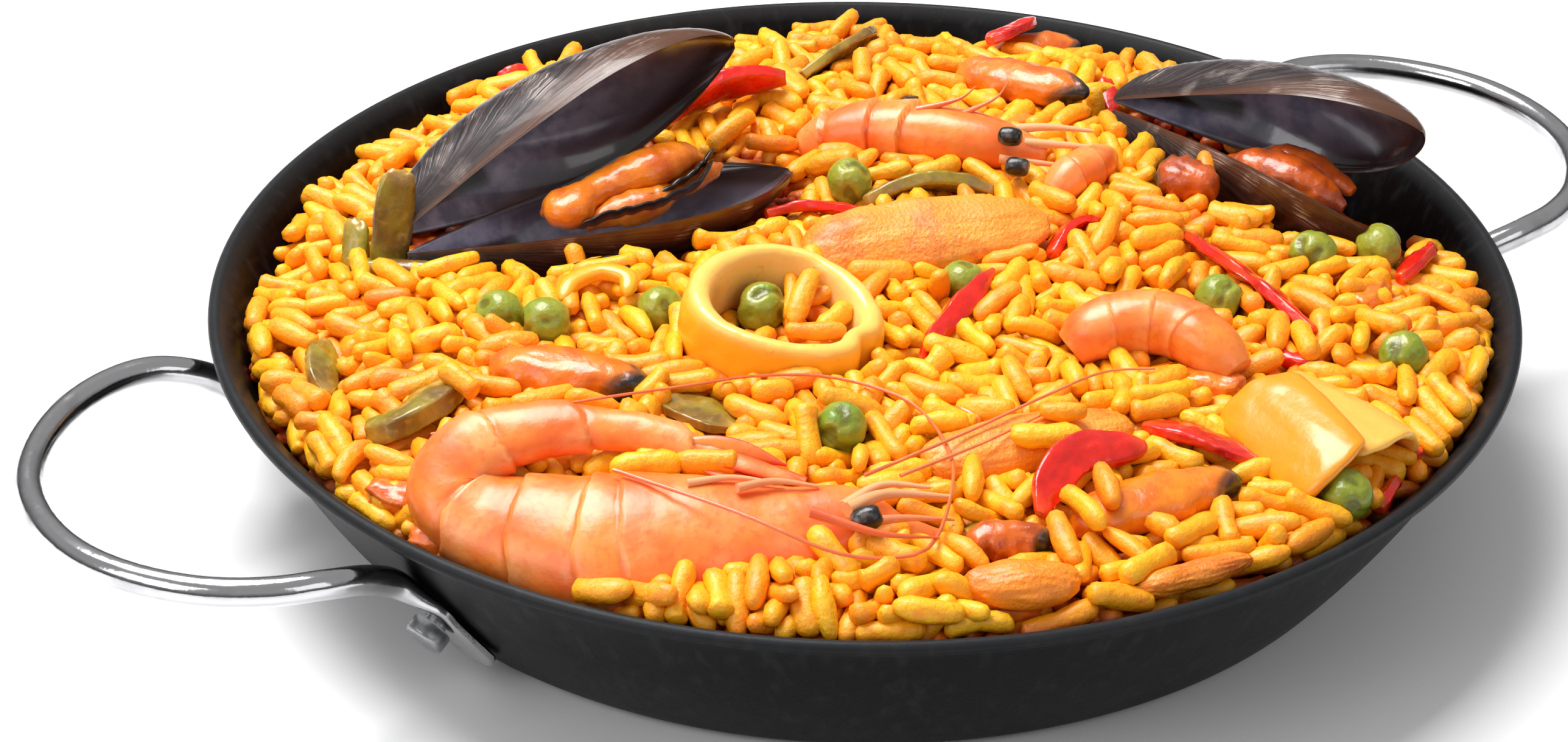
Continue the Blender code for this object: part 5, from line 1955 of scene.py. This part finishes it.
@dataclass
class RiceHeap:
    """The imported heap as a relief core, with loose grains over it and piled round the toppings."""

    pan: Pan
    solids: Solids
    toppings: tuple[str, ...]
    grains: int = 2850
    sunk: float = 4.4
    balls: tuple[float, ...] = (-3.5, -1.2, 1.2, 3.5)
    ball: float = 1.68
    rounds: int = 84
    # Where the grains stop shorter of the wall: (direction, mm, half-width)
    insets: Route = ((130.0, 3.6, 22.0), (172.0, 1.6, 16.0), (5.0, 1.6, 20.0))
    step: float = 1.5
    read_out_to: float = 108.0
    spread: float = 107.0
    # What a settled grain must keep: out of a topping, beside a shell and at most this far up
    clear_of_topping: float = 0.8
    clear_of_shell: float = 2.5
    highest: float = 2.6
    # Room round a grain that is laid on a topping
    room: float = 2.6

    def __post_init__(self) -> None:
        """Reads the heap's surface and what stands in it."""
        self.random = np.random.default_rng(71)
        self.ground = Ground(self.solids.tree(["rice"]), self.read_out_to, self.step)
        self.bed = self.ground.rough(1.9, 0.085, 21.0)
        self.turns = np.linspace(-math.pi, math.pi, 361)
        self.edge = np.array([self._reach(turn) for turn in self.turns])
        for direction, short, width in self.insets:
            away = (np.degrees(self.turns) - direction + 180.0) % 360.0 - 180.0
            self.edge -= short * np.exp(-((away / width) ** 2))
        self.lids = self.solids.tree(["mussel_left_upper", "mussel_right_upper"])
        self.shells = self.solids.tree([valve.node for valve in VALVES])
        self.obstacles = self.solids.tree(self.toppings)

    def build(self) -> None:
        """Makes the core, settles the grains and makes them."""
        self.core()
        centres, axes = self.spawn()
        centres, axes = self.settle(centres, axes)
        self.meshes(*self.laid(centres, axes))

    def laid(self, centres: Array, axes: Array) -> tuple[Array, Array]:
        """Adds the grains that lie up on the toppings, and clears the room that they take.

        Args:
            centres: Middles of the settled grains.
            axes: Their directions.

        Returns:
            All of them together.
        """
        rows = np.array(ON_TOP)
        more = direction(np.radians(rows[:, 3]), np.radians(rows[:, 4]))
        gap = np.linalg.norm(centres[:, None, :] - rows[None, :, :3], axis=2).min(axis=1)
        clear = gap > self.room
        return np.concatenate([centres[clear], rows[:, :3]]), np.concatenate([axes[clear], more])

    def core(self) -> None:
        """The heap itself, a little below its grains, its top in a rice-sized relief."""
        turn = np.linspace(0.0, math.tau, 240, endpoint=False)
        reach = self.limit(np.cos(turn), np.sin(turn))
        shares = np.concatenate([np.linspace(0.03, 0.9, 58), np.linspace(0.915, 1.0, 8)])
        top = []
        bed = self.bed.worn(2)
        for share in shares:
            x, y = share * reach * np.cos(turn), share * reach * np.sin(turn)
            low = bed.at(x, y) - self.sunk
            flat = np.stack([x, y, np.zeros_like(x)], axis=1)
            low += 0.8 * wander(flat, 0.3, 11.0) + 0.5 * wander(flat, 0.75, 12.0)
            within = np.minimum(share * reach, self.pan.wall(low, True) - 0.8)
            top.append(np.stack([within * np.cos(turn), within * np.sin(turn), low], axis=1))
        edge_low = np.minimum(top[-1][:, 2] - 1.5, 22.0)
        floor = self.pan.sheet + 0.35
        for height in (1.0, 0.66, 0.33, 0.1):
            z = blend(floor, edge_low, height)
            radius = np.minimum(reach, self.pan.wall(z, True) - 0.8 - 8.0 * (1.0 - height) ** 2)
            top.append(np.stack([radius * np.cos(turn), radius * np.sin(turn), z], axis=1))
        top.append(np.stack([50.0 * np.cos(turn), 50.0 * np.sin(turn), np.full_like(turn, floor)], axis=1))
        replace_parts(loft(np.array(top)).piece("rice_packed", RiceBed(), 180.0), "rice")

    def limit(self, x: Array, y: Array) -> Array:
        """How far out the heap goes, in the direction of each place."""
        return np.interp(np.arctan2(y, x), self.turns, self.edge)

    def _reach(self, turn: float) -> float:
        """How far out the heap goes in a direction."""
        ground = self.ground
        steps = np.arange(70.0, 107.5, 0.5)
        i = ((steps * math.cos(turn) + ground.reach) / ground.step + 0.5).astype(int)
        j = ((steps * math.sin(turn) + ground.reach) / ground.step + 0.5).astype(int)
        seen = steps[ground.seen[i, j]]
        return float(seen.max()) if len(seen) else 90.0

    def spawn(self) -> tuple[Array, Array]:
        """Grains scattered evenly over the heap, none under a topping.

        Returns:
            Their middles, and their directions of unit length.
        """
        spiral = np.arange(self.grains * 2)
        radius = self.spread * np.sqrt((spiral + 0.5) / len(spiral))
        turn = spiral * math.pi * (3.0 - math.sqrt(5.0))
        x, y = radius * np.cos(turn), radius * np.sin(turn)
        x += self.random.normal(0.0, 0.7, len(x))
        y += self.random.normal(0.0, 0.7, len(y))
        height = self.bed.at(x, y)
        inside = np.hypot(x, y) < self.limit(x, y) - 1.0
        layer = self.random.random(len(x))
        height = height - 2.6 + 2.4 * layer
        keep = [
            index
            for index in np.flatnonzero(inside)
            if self._free(Vector((x[index], y[index], height[index])))
        ]
        keep = np.array(keep)
        self.random.shuffle(keep)
        keep = keep[: self.grains]
        heading = self.random.uniform(0.0, math.tau, len(keep))
        pitch = np.radians(self.random.normal(0.0, 10.0, len(keep)))
        return np.stack([x[keep], y[keep], height[keep]], axis=1), direction(heading, pitch)

    def _free(self, place: Vector) -> bool:
        """True if no topping stands here or right over this place."""
        rise = Vector((0.0, 0.0, 1.0))
        near = self.obstacles.ray_cast(place - 6.0 * rise, rise, 9.5)[0]
        return near is None and self.lids.ray_cast(place, rise, 50.0)[0] is None

    def settle(self, centres: Array, axes: Array) -> tuple[Array, Array]:
        """Lets the grains push each other apart and come to rest on the core and against the toppings.

        Args:
            centres: Their middles.
            axes: Their directions.

        Returns:
            The same, at rest.
        """
        count, balls = len(centres), len(self.balls)
        offsets = np.array(self.balls)
        place = centres[:, None, :] + offsets[None, :, None] * axes[:, None, :]
        owner = np.repeat(np.arange(count), balls)
        planes = None
        for turn in range(self.rounds):
            place[:, :, 2] -= 0.1
            flat = place.reshape(-1, 3)
            first, second = self._close_pairs(flat, owner)
            apart = flat[first] - flat[second]
            gap = np.linalg.norm(apart, axis=1)
            need = np.clip(2 * self.ball - gap, 0.0, None)
            shove = apart / np.maximum(gap, 1e-6)[:, None] * (need * 0.5)[:, None]
            share = np.zeros(len(flat))
            total = np.zeros_like(flat)
            np.add.at(total, first, shove)
            np.add.at(total, second, -shove)
            np.add.at(share, first, 1.0)
            np.add.at(share, second, 1.0)
            flat = flat + total / np.maximum(share, 1.0)[:, None] ** 0.5
            if turn % 8 == 0:
                planes = self._planes(flat)
            where, facing = planes
            depth = self.ball * 0.92 - np.einsum("ij,ij->i", flat - where, facing)
            flat = flat + facing * np.clip(depth, 0.0, 1.2)[:, None]
            low = self.bed.at(flat[:, 0], flat[:, 1]) - self.sunk + self.ball * 0.4
            flat[:, 2] = np.maximum(flat[:, 2], low)
            radius = np.hypot(flat[:, 0], flat[:, 1])
            limit = self.pan.wall(np.minimum(flat[:, 2], self.pan.top()), True) - self.ball - 0.1
            limit = np.minimum(limit, self.limit(flat[:, 0], flat[:, 1]) - 0.8)
            flat[:, :2] *= np.minimum(1.0, limit / np.maximum(radius, 1e-6))[:, None]
            place = flat.reshape(count, balls, 3)
            centres = place.mean(axis=1)
            away = (place - centres[:, None, :]) * offsets[None, :, None]
            axes = away.sum(axis=1) * (1.0, 1.0, 0.95)
            axes /= np.maximum(np.linalg.norm(axes, axis=1, keepdims=True), 1e-6)
            place = centres[:, None, :] + offsets[None, :, None] * axes[:, None, :]
        return self._clear(centres, axes)

    def _close_pairs(self, flat: Array, owner: Array) -> tuple[Array, Array]:
        """Pairs of balls nearer than they are wide, of different grains."""
        cell = 2 * self.ball
        key = np.floor(flat / cell).astype(np.int64) + 64
        code = (key[:, 0] * 256 + key[:, 1]) * 256 + key[:, 2]
        order = np.argsort(code, kind="stable")
        code_sorted = code[order]
        firsts, seconds = [], []
        shifts = [(x, y, z) for x in (-1, 0, 1) for y in (-1, 0, 1) for z in (-1, 0, 1)]
        for shift in shifts[13:]:
            other = code + (shift[0] * 256 + shift[1]) * 256 + shift[2]
            start = np.searchsorted(code_sorted, other, "left")
            end = np.searchsorted(code_sorted, other, "right")
            for number in range(int((end - start).max())):
                some = np.flatnonzero(start + number < end)
                firsts.append(some)
                seconds.append(order[start[some] + number])
        first, second = np.concatenate(firsts), np.concatenate(seconds)
        same_cell = code[first] == code[second]
        good = (owner[first] != owner[second]) & (~same_cell | (first < second))
        first, second = first[good], second[good]
        near = np.einsum("ij,ij->i", flat[first] - flat[second], flat[first] - flat[second]) < cell * cell
        return first[near], second[near]

    @staticmethod
    def _depth(tree: BVHTree, place: Array) -> Array:
        """How far each ball's middle is outside the surface nearest to it."""
        depth = np.full(place.shape[:2], 50.0)
        for index in np.ndindex(depth.shape):
            point = Vector(place[index])
            spot, normal, _, _ = tree.find_nearest(point, 6.0)
            if spot is not None:
                depth[index] = (point - spot).dot(normal)
        return depth

    def _planes(self, flat: Array) -> tuple[Array, Array]:
        """For each ball, the nearest place on a topping and the outward direction there."""
        where, facing = np.full_like(flat, -1000.0), np.zeros_like(flat)
        facing[:, 2] = 1.0
        for index, point in enumerate(flat):
            spot, normal = self.obstacles.find_nearest(Vector(point), 6.0)[:2]
            if spot is not None:
                where[index], facing[index] = spot, normal
        return where, facing

    def _clear(self, centres: Array, axes: Array) -> tuple[Array, Array]:
        """Leaves out grains that ended inside a topping or too high."""
        offsets = np.array(self.balls)
        place = centres[:, None, :] + offsets[None, :, None] * axes[:, None, :]
        depth = self._depth(self.obstacles, place)
        beside = np.abs(self._depth(self.shells, place)).min(axis=1)
        rise = centres[:, 2] - self.bed.at(centres[:, 0], centres[:, 1])
        keep = depth.min(axis=1) > self.clear_of_topping
        keep &= (beside > self.clear_of_shell) & (rise < self.highest)
        LOG.info("rice: %d grains of %d kept", int(keep.sum()), len(keep))
        return centres[keep], axes[keep]

    def meshes(self, centres: Array, axes: Array) -> None:
        """Makes every grain, joined in four pieces by how they are cooked."""
        for number, kind in enumerate(GRAINS):
            some = np.flatnonzero(np.arange(len(centres)) % 8 < kind.share[1])
            some = some[some % 8 >= kind.share[0]]
            self._joined(kind, centres[some], axes[some], number)

    def _joined(self, kind: Grain, centres: Array, axes: Array, number: int) -> None:
        """One piece of many grains."""
        shapes = [kind.shape(float(seed)) for seed in range(6)]
        points, tint = [], []
        corners = len(shapes[0].points)
        face_groups = []
        base = np.array([face for face in shapes[0].faces if len(face) == 4])
        caps = np.array([face for face in shapes[0].faces if len(face) == 3])
        for index, (centre, axis) in enumerate(zip(centres, axes)):
            shape = shapes[index % len(shapes)]
            side = np.cross(axis, (0.0, 0.0, 1.0))
            side /= max(np.linalg.norm(side), 1e-6)
            over = np.cross(side, axis)
            roll = self.random.uniform(0.0, math.tau)
            turned = side * math.cos(roll) + over * math.sin(roll)
            frame = np.stack([axis, turned, np.cross(axis, turned)], axis=1)
            size = self.random.normal((1.0, 1.0, 1.0), (0.07, 0.08, 0.08))
            points.append((shape.points * size) @ frame.T + centre)
            tint.append(self.random.beta(1.6, 2.2))
            face_groups.append(index * corners)
        flat = np.concatenate(points)
        starts = np.array(face_groups)[:, None, None]
        quads = (base[None] + starts).reshape(-1, 4)
        threes = (caps[None] + starts).reshape(-1, 3)
        faces = [tuple(row) for row in quads.tolist()] + [tuple(row) for row in threes.tolist()]
        patch = 0.5 + 0.5 * wander(centres, 0.045, 31.0)
        own = np.clip(np.array(tint) * 0.7 + (patch - 0.5) * 0.6 + 0.2, 0.0, 1.0)
        # How far each point lies below the heap's surface; the grain finish darkens deeper points as painted
        # shade.
        deep = self.bed.at(flat[:, 0], flat[:, 1]) - flat[:, 2]
        skin = Skin(flat, faces, {"tint": np.repeat(own, corners), "deep": deep})
        skin.piece(f"rice_{kind.name}", SaffronGrain(), 70.0)


# ---------------------------------------------------------------- small loose bits


@dataclass(frozen=True)
class Bit:
    """A small loose piece too small to be a solid of its own.

    Attributes:
        name: What it is called.
        finish: What covers it.
        at: Its middle on the pan; its height is above the heap.
        angles: Heading, pitch and roll in degrees.
        size: Length, width and height.
        rough: Height of its bumps as a share of its size.
        tint: Which of its finish's tones it has, 0 to 1.
        node: The solid that it stands for, if any.
    """

    name: str
    finish: Finish
    at: Spot
    angles: Spot
    size: Spot
    rough: float = 0.16
    tint: float = 0.5
    node: str = ""

    def build(self, ground: Ground, number: int) -> None:
        """Makes it on the heap, in place of its node if it has one."""
        x, y, lift = self.at
        height = float(ground.at(np.array([x]), np.array([y]))[0])
        skin = blob((x, y, height + lift), self.angles, self.size, self.rough, float(number) * 1.7)
        skin.fill("tint", self.tint)
        skin.marks["end"] = np.abs(skin.marks["u"])
        skin.marks["frill"] = soft_step(skin.marks["u"], 0.4, 0.95)
        piece = skin.piece(self.name, self.finish, 80.0)
        if self.node:
            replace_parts(piece, self.node)


BITS = (
    Bit("red_bit_back_1", RedPepper(), (-35.7, 84.9, 0.6), (20.0, 10.0, 0.0), (8.0, 4.0, 3.2)),
    Bit("red_bit_back_2", RedPepper(), (-22.0, 89.0, 0.6), (-30.0, 0.0, 20.0), (7.0, 4.4, 3.4)),
    Bit("red_bit_right_back", RedPepper(), (72.7, 33.6, 0.8), (70.0, 30.0, 0.0), (8.0, 3.6, 2.8)),
    Bit("red_bit_middle", RedPepper(), (-10.2, -45.2, 0.4), (40.0, 0.0, 0.0), (6.0, 3.2, 2.4)),
    Bit("red_bit_right", RedPepper(), (44.3, -63.0, 0.2), (-60.0, 0.0, 0.0), (8.0, 3.6, 3.0)),
    Bit("red_bit_left", RedPepper(), (-98.0, 12.6, 0.4), (80.0, 0.0, 0.0), (5.0, 3.4, 3.0)),
    Bit("red_bit_front", RedPepper(), (42.7, -90.2, 0.2), (-20.0, 0.0, 0.0), (8.0, 3.4, 3.0)),
    Bit("tomato_left_1", TomatoFlesh(), (-97.4, -25.0, 0.4), (-50.0, 0.0, 0.0), (8.0, 6.0, 5.0), 0.25),
    Bit("tomato_left_2", TomatoFlesh(), (-95.0, -36.0, 0.0), (-40.0, 0.0, 0.0), (9.0, 6.0, 5.0), 0.25),
    Bit("tomato_middle", TomatoFlesh(), (-10.4, -53.0, 0.2), (10.0, 0.0, 0.0), (8.0, 6.4, 4.4), 0.3, 0.1),
    Bit("tomato_front", TomatoFlesh(), (-30.2, -94.0, 0.3), (-20.0, 0.0, 0.0), (9.0, 6.0, 5.0), 0.25, 0.2),
    Bit("tomato_right", TomatoFlesh(), (68.0, -50.0, 0.2), (30.0, 0.0, 0.0), (9.0, 6.0, 4.6), 0.3, 0.1),
    Bit("onion_left", TomatoFlesh(), (-43.0, -19.0, 0.6), (-25.0, 0.0, 0.0), (13.0, 8.0, 3.6), 0.2, 0.0),
    Bit("onion_middle", TomatoFlesh(), (-46.0, -33.0, 0.4), (-20.0, 0.0, 0.0), (11.0, 6.0, 3.6), 0.2, 0.3),
    Bit("onion_back", TomatoFlesh(), (47.0, 31.0, 0.6), (-10.0, 0.0, 0.0), (12.0, 7.0, 4.0), 0.2, 0.0),
    Bit("onion_right", TomatoFlesh(), (28.0, -62.0, 0.4), (-50.0, 0.0, 0.0), (10.0, 6.0, 4.0), 0.2, 0.1),
    Bit("shell_bit_left", DarkShell(), (-42.0, 15.4, 1.6), (-25.0, 10.0, 30.0), (10.0, 5.6, 1.6), 0.1),
    # A small black-brown lump at the back, where the heap shows a dark spot.
    Bit("dark_bit_back", DarkShell(), (33.9, 44.3, 1.0), (30.0, 0.0, 0.0), (8.0, 4.4, 2.6), 0.2),
    Bit("pale_bit_back", SquidFlesh(), (14.9, 66.7, 3.4), (-20.0, 0.0, 0.0), (8.0, 4.4, 3.4), 0.2, 0.0),
    Bit("olive_bit_front_1", GreenPepper(), (-25.3, -80.4, 1.0), (-30.0, 0.0, 0.0), (8.0, 4.4, 2.8), 0.2),
    Bit("olive_bit_front_2", GreenPepper(), (-21.8, -86.4, 1.0), (-50.0, 0.0, 0.0), (7.0, 3.8, 2.6), 0.2),
    Bit("olive_bit_left", GreenPepper(), (-72.6, 48.0, 3.0), (60.0, 50.0, -20.0), (12.0, 5.0, 2.6), 0.14),
    Bit("olive_strip_left", GreenPepper(), (-68.4, 36.4, 0.6), (-34.0, 0.0, -24.0), (13.0, 4.4, 3.6), 0.14),
    Bit(
        "green_blade", GreenPepper(), (-66.8, 44.1, 6.4), (40.0, 70.0, 40.0), (17.0, 7.0, 2.4), 0.12,
        node="green_pepper_1",
    ),
)


@dataclass
class Garnish:
    """The loose small bits, and the thin strips and hooks that lie among the grains."""

    ground: Ground

    def build(self) -> None:
        """Makes them all."""
        for number, bit in enumerate(BITS, 1):
            bit.build(self.ground, number)
        self.hook()

    def hook(self) -> None:
        """A curled end of squid on the left."""
        rows = (
            (-53.6, 6.2, 39.8), (-50.0, 9.4, 40.6), (-44.6, 9.8, 41.0), (-41.6, 6.2, 40.8),
            (-43.6, 2.4, 40.0),
        )
        route = smooth_route(rows, 50)
        share = np.linspace(0.0, 1.0, 50)
        half = 1.7 * round_ends(share, 5, 0.03)
        skin = loft(swept(route, oval(half, half * 0.8, 14, 0.8)))
        skin.fill("cut", 0.0)
        skin.fill("tint", 0.6)
        skin.piece("squid_hook", SquidFlesh())


# ---------------------------------------------------------------- toppings


def tinted(name: str, kind: Kind, tints: Sequence[float]) -> list[Topping]:
    """Toppings of one kind, numbered from 1, each with its own tint."""
    return [Topping(name.format(number), kind, number, tint) for number, tint in enumerate(tints, 1)]


def toppings() -> list[Topping]:
    """Every piece that is worked from its solid."""
    pieces = tinted("pea_{:02d}", Kind.PEA, PEA_TINTS)
    pieces += [Topping(f"red_pepper_{number}", Kind.STRIP, number) for number in range(1, 12)]
    pieces += [Topping(f"green_pepper_{number}", Kind.STRIP, number + 12) for number in range(2, 8)]
    pieces += tinted("mussel_meat_{}", Kind.FLESH, FLESH_TINTS)
    pieces += tinted("chicken_{}", Kind.CHICKEN, CHICKEN_TINTS)
    return [*pieces, Topping("cheek_bit", Kind.FLESH, 9, 0.9)]


PEA_TINTS = (0.6, 0.5, 0.7, 0.4, 0.8, 0.5, 0.6, 0.7, 0.4, 0.0, 0.6, 0.8)
FLESH_TINTS = (0.5, 0.3, 0.2, 0.0, 0.8)
CHICKEN_TINTS = (0.1, 0.3, 0.7, 1.0)


# ---------------------------------------------------------------- floor, light and camera


@dataclass
class Stage:
    """A plain pale floor, soft light and the camera."""

    eye: Spot = (-0.26212, -0.43618, 0.31621)
    right: Spot = (0.87140258, -0.49055534, 0.00360662)
    up: Spot = (0.24775655, 0.4464263, 0.85983734)
    forward: Spot = (0.42340789, 0.74837091, -0.51055533)
    lens: float = 78.79
    # Each lamp's name, place, goal, width and power
    lamps: tuple[tuple[Any, ...], ...] = (
        ("lamp_above", (-0.1, 0.3, 0.75), (0.0, 0.0, 0.02), 0.5, 10.0),
        ("lamp_left", (-0.75, -0.1, 0.5), (0.0, 0.0, 0.02), 0.45, 1.7),
        ("lamp_front", (0.1, -0.8, 0.5), (0.0, 0.0, 0.03), 0.5, 0.8),
    )

    def build(self) -> None:
        """Makes all of it."""
        self.floor()
        for row in self.lamps:
            self.lamp(*row)
        self.world()
        self.camera()
        bpy.context.scene.view_settings.view_transform = "Standard"

    @staticmethod
    def floor() -> None:
        """The table top."""
        mesh = bpy.data.meshes.new("table_top")
        corners = [(-1.5, -1.5, 0.0), (1.5, -1.5, 0.0), (1.5, 1.5, 0.0), (-1.5, 1.5, 0.0)]
        mesh.from_pydata(corners, [], [(0, 1, 2, 3)])
        mesh.materials.append(PaleFloor().material())
        floor = bpy.data.objects.new("table_top", mesh)
        bpy.context.scene.collection.objects.link(floor)

    @staticmethod
    def lamp(name: str, place: Sequence[float], goal: Sequence[float], size: float, power: float) -> None:
        """A soft square lamp that faces a goal.

        Args:
            name: Its name.
            place: Where it hangs.
            goal: What it faces.
            size: Its width.
            power: In watts.
        """
        data = bpy.data.lights.new(name, "AREA")
        data.size, data.energy = size, power
        lamp = bpy.data.objects.new(name, data)
        lamp.location = place
        lamp.rotation_euler = (Vector(goal) - Vector(place)).to_track_quat("-Z", "Y").to_euler()
        bpy.context.scene.collection.objects.link(lamp)

    @staticmethod
    def world() -> None:
        """A bright room: white above, darker round the walls."""
        world = bpy.data.worlds.new("room")
        world.use_nodes = True
        tree = world.node_tree
        where = tree.nodes.new("ShaderNodeTexCoord")
        split = tree.nodes.new("ShaderNodeSeparateXYZ")
        tree.links.new(where.outputs["Generated"], split.inputs[0])
        ramp = tree.nodes.new("ShaderNodeValToRGB")
        tree.links.new(split.outputs["Z"], ramp.inputs["Fac"])
        ramp.color_ramp.elements[0].position = 0.05
        ramp.color_ramp.elements[0].color = (0.2, 0.2, 0.205, 1.0)
        ramp.color_ramp.elements[1].position = 0.45
        ramp.color_ramp.elements[1].color = (1.0, 1.0, 1.0, 1.0)
        tree.links.new(ramp.outputs["Color"], tree.nodes["Background"].inputs["Color"])
        tree.nodes["Background"].inputs["Strength"].default_value = 0.4
        bpy.context.scene.world = world

    def camera(self) -> None:
        """The camera, looking down from the front left."""
        data = bpy.data.cameras.new("camera")
        data.lens, data.sensor_width, data.clip_start = self.lens, 36.0, 0.01
        camera = bpy.data.objects.new("camera", data)
        frame = Matrix((self.right, self.up, [-part for part in self.forward])).transposed().to_4x4()
        camera.matrix_world = Matrix.Translation(self.eye) @ frame
        bpy.context.scene.collection.objects.link(camera)
        bpy.context.scene.camera = camera


# ---------------------------------------------------------------- everything, in order


def plain(bounds: Any) -> Any:
    """Bounds as plain lists of numbers."""
    return [[float(value) for value in corner] for corner in bounds]


def main() -> None:
    """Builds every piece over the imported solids."""
    logging.basicConfig(level=logging.INFO, format="%(name)s %(message)s")
    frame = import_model()
    solids = Solids(frame["nodes"])
    pan = Pan()
    pan.build()
    for side in (1, -1):
        Handle(pan, side).build()
    for valve in VALVES:
        valve.build()
    MusselFilling().build()
    WholePrawn().build()
    for prawn in HALF_PRAWNS:
        prawn.build()
    BackPrawnHead().build()
    SquidRing().build()
    SquidFold().build()
    for topping in toppings():
        topping.build(solids)
    apart = ("pan", "rice", "handle", "rivet")
    standing = [name for name in solids.skins if not name.startswith(apart)]
    heap = RiceHeap(pan, solids, tuple(standing))
    heap.build()
    Garnish(heap.ground).build()
    Stage().build()


if __name__ == "__main__":
    main()
